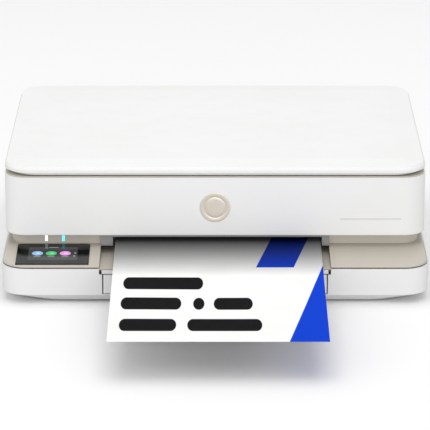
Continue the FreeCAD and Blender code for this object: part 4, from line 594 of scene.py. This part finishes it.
def make_badge():
    """A plain round badge: a profile of radius and depth turned about the front-to-back axis, with a
    low dome, one groove and a rounded rim."""
    low, high = (np.array(c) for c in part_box("emblem_disc"))
    radius, thick = (high[0] - low[0]) / 2, high[1] - low[1]
    share = np.array([0.25, 0.5, 0.64, 0.66, 0.68, 0.72, 0.74, 0.76, 0.9, 0.96, 0.985, 1.0, 1.0])
    front = np.array([0.02, 0.08, 0.14, 0.3, 0.5, 0.5, 0.3, 0.1, 0.02, 0.08, 0.22, 0.5, 1.0])
    angle = np.linspace(0, 2 * math.pi, 96, endpoint=False)
    centre = middle("emblem_disc")
    rings = [np.column_stack([centre[0] + radius * r * np.cos(angle),
                              np.full(96, low[1] + thick * f),
                              centre[2] + radius * r * np.sin(angle)])
             for r, f in zip(share, front)]
    points, faces = closed_rings(rings)
    return add_piece("front_badge", points, faces, "scanner", badge_metal(),
                     ["emblem_disc"])


def page_print_and_slot_shadow():
    """Plain white paper with a print: a blue slanted band, a blue triangle, and rows of plain dark
    bars, placed by the sheet's own flat map (across, and away from the slot), with painted shadow
    darkening the sheet towards the slot."""
    material, tree, shader = new_material("printed_paper_slot_shadow")
    flat = add(tree, "ShaderNodeUVMap", uv_map="flat").outputs[0]
    place = add(tree, "ShaderNodeSeparateXYZ", {0: flat})
    u, w = place.outputs["X"], place.outputs["Y"]
    fibres = place_group(tree, LINES, {"Stretch": (500.0, 1500.0, 700.0)})
    base = place_group(tree, DRIFT, {"Colour": (0.93, 0.93, 0.925), "Drift": (0.9, 0.9, 0.89),
                                     "Size": 30.0})
    tone = blend_colour(tree, ramp(tree, fibres["Shade"], 0.0, 1.0, 0.0, 0.06), base["Colour"],
                        (0.8, 0.8, 0.79))
    lean = calc(tree, "ADD", u, calc(tree, "MULTIPLY", w, 0.29))
    band = calc(tree, "MULTIPLY", between(tree, lean, 0.785, 0.965, 0.0015),
                between(tree, w, -1.0, 0.36, 0.0015))
    slant = calc(tree, "ADD", u, calc(tree, "MULTIPLY", w, 0.274))
    wedge = calc(tree, "MULTIPLY", ramp(tree, slant, 1.092, 1.095), ramp(tree, w, 0.33, 0.333))
    ink = calc(tree, "MAXIMUM", band, wedge)
    tone = blend_colour(tree, ink, tone, (0.0, 0.05, 0.62))
    # painted shadow: darkens the sheet to near black at the slot end, fading out by about 0.43 of the
    # way along
    painted_slot_shadow = calc(tree, "MULTIPLY_ADD", w, 2.1, 0.09, clamp=True)
    tone = blend_colour(tree, calc(tree, "POWER", painted_slot_shadow, 2.2), (0.001, 0.001, 0.001), tone)
    bars = None
    for start, stop, row in ((0.055, 0.43, 0.5), (0.05, 0.33, 0.675), (0.385, 0.425, 0.675),
                             (0.48, 0.66, 0.675), (0.05, 0.31, 0.86), (0.36, 0.70, 0.86)):
        first, last = start + BAR_END, max(stop - BAR_END, start + BAR_END)
        along_bar = add(tree, "ShaderNodeClamp", {"Value": u, "Min": first, "Max": last}).outputs[0]
        a = calc(tree, "SUBTRACT", u, along_bar)
        b = calc(tree, "MULTIPLY", calc(tree, "SUBTRACT", w, row), BAR_SQUASH)
        reach = calc(tree, "SQRT", calc(tree, "ADD", calc(tree, "MULTIPLY", a, a),
                                        calc(tree, "MULTIPLY", b, b)))
        bar = ramp(tree, reach, BAR_END + 0.001, BAR_END - 0.001)
        bars = bar if bars is None else calc(tree, "MAXIMUM", bars, bar)
    tone = blend_colour(tree, bars, tone, (0.004, 0.004, 0.005))
    inked = calc(tree, "MAXIMUM", ink, bars)
    edge = place_group(tree, EDGE, {"Radius": 0.0001})
    tree.links.new(tone, shader.inputs["Base Color"])
    tree.links.new(ramp(tree, inked, 0.0, 1.0, 0.78, 0.62), shader.inputs["Roughness"])
    shader.inputs["Specular IOR Level"].default_value = 0.04
    relief(tree, shader, fibres["Height"], edge["Normal"], 0.000006)
    return material


def make_page():
    """The sheet: a grid across and along, straight to the slot and bowed down by a share of
    sin(pi w) beyond it, its two faces a sheet's thickness apart and joined round the rim."""
    low, high = (np.array(c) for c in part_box("printed_sheet"))
    across, along_sheet = 25, 49
    u, w = np.meshgrid(np.linspace(0, 1, across), np.linspace(0, 1, along_sheet))
    fall = high[2] - low[2] - SHEET_THICK
    beyond = np.clip((w - SLOT_SHARE) / (1 - SLOT_SHARE), 0, 1)
    bow = SHEET_BOW * np.sin(math.pi * beyond) ** 2 * (0.75 + 0.25 * np.cos(2 * math.pi * (u - 0.5)))
    x = low[0] + u * (high[0] - low[0])
    y = high[1] - w * (high[1] - low[1])
    z = low[2] + (1 - w) * fall - bow
    upper = np.stack([x, y, z + SHEET_THICK], -1).reshape(-1, 3)
    lower = np.stack([x, y, z], -1).reshape(-1, 3)
    count = across * along_sheet
    at = np.arange(count).reshape(along_sheet, across)
    quads = np.stack([at[:-1, :-1], at[1:, :-1], at[1:, 1:], at[:-1, 1:]], -1).reshape(-1, 4)
    rim = np.concatenate([at[0, :], at[1:, -1], at[-1, -2::-1], at[-2:0:-1, 0]])
    after = np.roll(rim, -1)
    walls = np.stack([rim, after, after + count, rim + count], -1)
    faces = [*quads.tolist(), *(quads[:, ::-1] + count).tolist(), *walls.tolist()]
    flat = np.tile(np.column_stack([u.ravel(), w.ravel()]), (2, 1))
    return add_piece("paper_page", np.concatenate([upper, lower]), faces, "page",
                     page_print_and_slot_shadow(), ["printed_sheet"], uv=flat)


def make_belt():
    """The carriage's toothed belt: a racetrack line with its outer face a fixed distance out and its
    inner face stepped in and out as a square wave of the distance round it."""
    low, high = (np.array(c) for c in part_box("carriage_belt"))
    outer = (high[2] - low[2]) / 2
    root, tip = outer - TOOTH_ROOT, outer - TOOTH_TIP
    reach, centre = (high[0] - low[0]) / 2 - outer, (low + high) / 2
    length = 4 * reach + 2 * math.pi * outer
    teeth = int(length / TOOTH_PITCH)
    phase = np.array([0.0, 0.12, 0.5, 0.62])
    s = ((np.arange(teeth)[:, None] + phase[None, :]) / teeth * length).ravel()
    inner = np.tile([root, tip, tip, root], teeth)
    run, turn = 2 * reach, math.pi * outer
    lap = np.select([s < run, s < run + turn, s < 2 * run + turn], [0, 1, 2], 3)
    angle = np.select([lap == 0, lap == 1, lap == 2],
                      [math.pi / 2, math.pi / 2 - (s - run) / outer, -math.pi / 2],
                      -math.pi / 2 - (s - 2 * run - turn) / outer)
    base_x = np.select([lap == 0, lap == 1, lap == 2],
                       [s - reach, reach, reach - (s - run - turn)], -reach)

    def line(distance, y):
        return np.column_stack([centre[0] + base_x + distance * np.cos(angle),
                                np.full(len(s), y), centre[2] + distance * np.sin(angle)])

    rings = np.array([line(outer, low[1]), line(inner, low[1]), line(inner, high[1]),
                      line(outer, high[1])])
    faces = ring_faces(4, len(s), closed=True)
    return add_piece("toothed_belt", rings.reshape(-1, 3), faces.tolist(), "printer_case",
                     BELT_RUBBER, ["carriage_belt"])


def lens_strip(start, end, half_tall, proud, steps=9):
    """A thin raised line: a low arch, proud sin(a) high over half_tall cos(a), carried along x."""
    turn = np.linspace(0, math.pi, steps)
    profile = np.column_stack([-proud * np.sin(turn), half_tall * np.cos(turn)])
    ends = [np.column_stack([np.full(steps, x), start[1] + profile[:, 0], start[2] + profile[:, 1]])
            for x in (start[0], end)]
    return closed_rings(ends)


FINE_LINE = moulded("soft_grey_print", (0.42, 0.42, 0.41), 0.45, worn=1.05)


def make_front_line():
    """The fine grey line low on the right of the lifting body's front."""
    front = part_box("body_shell")[0][1]
    points, faces = lens_strip((LINE_ENDS[0], front, LINE_HEIGHT), LINE_ENDS[1], 0.22 * MM, 0.12 * MM)
    return add_piece("front_line", points, faces, "scanner", FINE_LINE)


def make_seam_shadow_strip():
    """A dark strip in the seam gap between base and deck, painted shade standing in for the gap's
    shadow:
    a squared oval section, (a cos t, b sin t) with each share raised to 0.35, carried round the deck's
    plan from one side of the drawer's mouth, behind, to the other side."""
    low, high = (np.array(c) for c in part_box("base_housing"))
    half, bottom, top = (high - low) / 2, high[2], high[2] + SEAM
    plan = round_plan(half[0] - SHADOW_STRIP_IN, half[1] - SHADOW_STRIP_IN, PLAN_RADIUS - SHADOW_STRIP_IN, 2 * RING_STEPS)
    plan = np.roll(plan, len(plan) // 4, 0)
    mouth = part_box("tray_front")[1][0] + MOUTH_MARGIN
    line = np.concatenate([[(mouth, plan[0, 1])], plan, [(-mouth, plan[0, 1])]])
    step = np.concatenate([line[1:2] - line[:1], line[2:] - line[:-2], line[-1:] - line[-2:-1]])
    step /= np.linalg.norm(step, axis=1)[:, None]
    out = np.column_stack([step[:, 1], -step[:, 0]])
    turn = np.linspace(0, 2 * math.pi, 24, endpoint=False)
    wide = np.sign(np.cos(turn)) * np.abs(np.cos(turn)) ** 0.35
    tall = np.sign(np.sin(turn)) * np.abs(np.sin(turn)) ** 0.35
    flat = line[:, None, :] + out[:, None, :] * (SHADOW_STRIP_HALF_WIDE * wide)[None, :, None]
    height = (bottom + top) / 2 - (SEAM / 2 - SHADOW_STRIP_SLACK) * tall
    tall = np.broadcast_to(height[None, :, None], (*flat.shape[:2], 1))
    points, faces = closed_rings(np.concatenate([flat, tall], -1))
    # painted shade: this dark piece stands in for the shadow in the seam between base and deck
    return add_piece("seam_shadow_strip", points, faces, "printer_case", SHADOW_STRIP_BLACK)


def make_bezel_ticks():
    """Plain size ticks round the scanner window's left and front edges, one each 10 mm."""
    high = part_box("lid_cover")[0][2] - SEAM
    window_low, window_high = (np.array(c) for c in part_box("lid_pad"))
    points, faces = [], []
    left = [(window_low[0] - TICK_OUT, y)
            for y in np.arange(window_low[1], window_high[1], TICK_STEP)]
    front = [(x, window_low[1] - TICK_OUT)
             for x in np.arange(window_low[0], window_high[0], TICK_STEP)]
    for number, (x, y) in enumerate(left + front):
        wide, deep = (TICK_LONG, TICK_WIDE) if number < len(left) else (TICK_WIDE, TICK_LONG)
        ring = slab_rings(wide, deep, 0.2 * MM, high - 0.05 * MM, high + 0.06 * MM, 0.02 * MM, 2)
        more, quads = closed_rings(np.array(ring)[:, ::3])
        faces += [[i + len(points) for i in f] for f in quads]
        points += (more + (x, y, 0)).tolist()
    return add_piece("size_ticks", points, faces, "scanner", FINE_LINE)


for make in (make_touch_panel, make_badge, make_page, make_belt, make_front_line,
             make_seam_shadow_strip, make_bezel_ticks):
    make()


def dress(node, material):
    """Gives a CAD node one finish, on every face."""
    mesh = nodes[node].data
    mesh.materials.clear()
    mesh.materials.append(material)


for part in frame["record"]["subparts"]:
    wanted = OWN_FINISH.get(part["node"]) or FINISH.get(part["material_slot"])
    if wanted:
        dress(part["node"], wanted)


# ---------------------------------------------------------------- studio

def make_floor():
    """A plain pale floor that throws back less light than it shows, as a deep studio sweep does."""
    mesh = bpy.data.meshes.new("studio_floor")
    corners = [(FLOOR_REACH * a, FLOOR_REACH * b, 0) for a, b in ((-1, -1), (1, -1), (1, 1), (-1, 1))]
    mesh.from_pydata(corners, [], [(0, 1, 2, 3)])
    material, tree, shader = new_material("pale_floor")
    soft = add(tree, "ShaderNodeTexNoise", {"Vector": object_place(tree), "Scale": 3.0})
    seen = blend_colour(tree, soft.outputs[0], (0.955, 0.955, 0.955), (0.94, 0.94, 0.94))
    straight = tree.nodes.new("ShaderNodeLightPath").outputs["Is Camera Ray"]
    tree.links.new(blend_colour(tree, straight, (0.6, 0.6, 0.6), seen),
                   shader.inputs["Base Color"])
    shader.inputs["Roughness"].default_value = 0.9
    mesh.materials.append(material)
    floor = bpy.data.objects.new("studio_floor", mesh)
    bpy.context.scene.collection.objects.link(floor)


def make_light(name, place, size, watts, colour=(1, 1, 1)):
    """A soft square light at a place, aimed at the middle of the printer."""
    data = bpy.data.lights.new(name, "AREA")
    data.energy, data.size, data.color = watts, size, colour
    light = bpy.data.objects.new(name, data)
    light.location = place
    aim = np.array([0.0, 0.0, 0.08]) - np.array(place)
    flat = math.hypot(aim[0], aim[1])
    light.rotation_euler = (math.atan2(flat, -aim[2]), 0, math.atan2(-aim[0], aim[1]))
    bpy.context.scene.collection.objects.link(light)


def make_camera():
    """A long lens in front of the printer, looking 18 degrees down."""
    data = bpy.data.cameras.new("view")
    data.lens, data.sensor_width = LENS, SENSOR
    data.clip_end = 50.0
    camera = bpy.data.objects.new("view", data)
    camera.location = EYE
    camera.rotation_euler = (math.pi / 2 - LOOK_DOWN, 0, 0)
    bpy.context.scene.collection.objects.link(camera)
    bpy.context.scene.camera = camera


def make_sky(strength):
    """Even white light from all round."""
    world = bpy.data.worlds.new("studio_sky")
    world.use_nodes = True
    background = world.node_tree.nodes["Background"]
    background.inputs["Color"].default_value = (1, 1, 1, 1)
    background.inputs["Strength"].default_value = strength
    bpy.context.scene.world = world


bpy.context.scene.view_settings.view_transform = "Standard"
make_floor()
make_camera()
make_sky(SKY)
make_light("overhead", (0.0, 0.1, 2.4), 2.2, 21.0)
make_light("front_soft", (0.3, -3.0, 0.3), 1.8, 38.0)
make_light("left_soft", (-2.2, -0.8, 1.2), 1.4, 5.0)
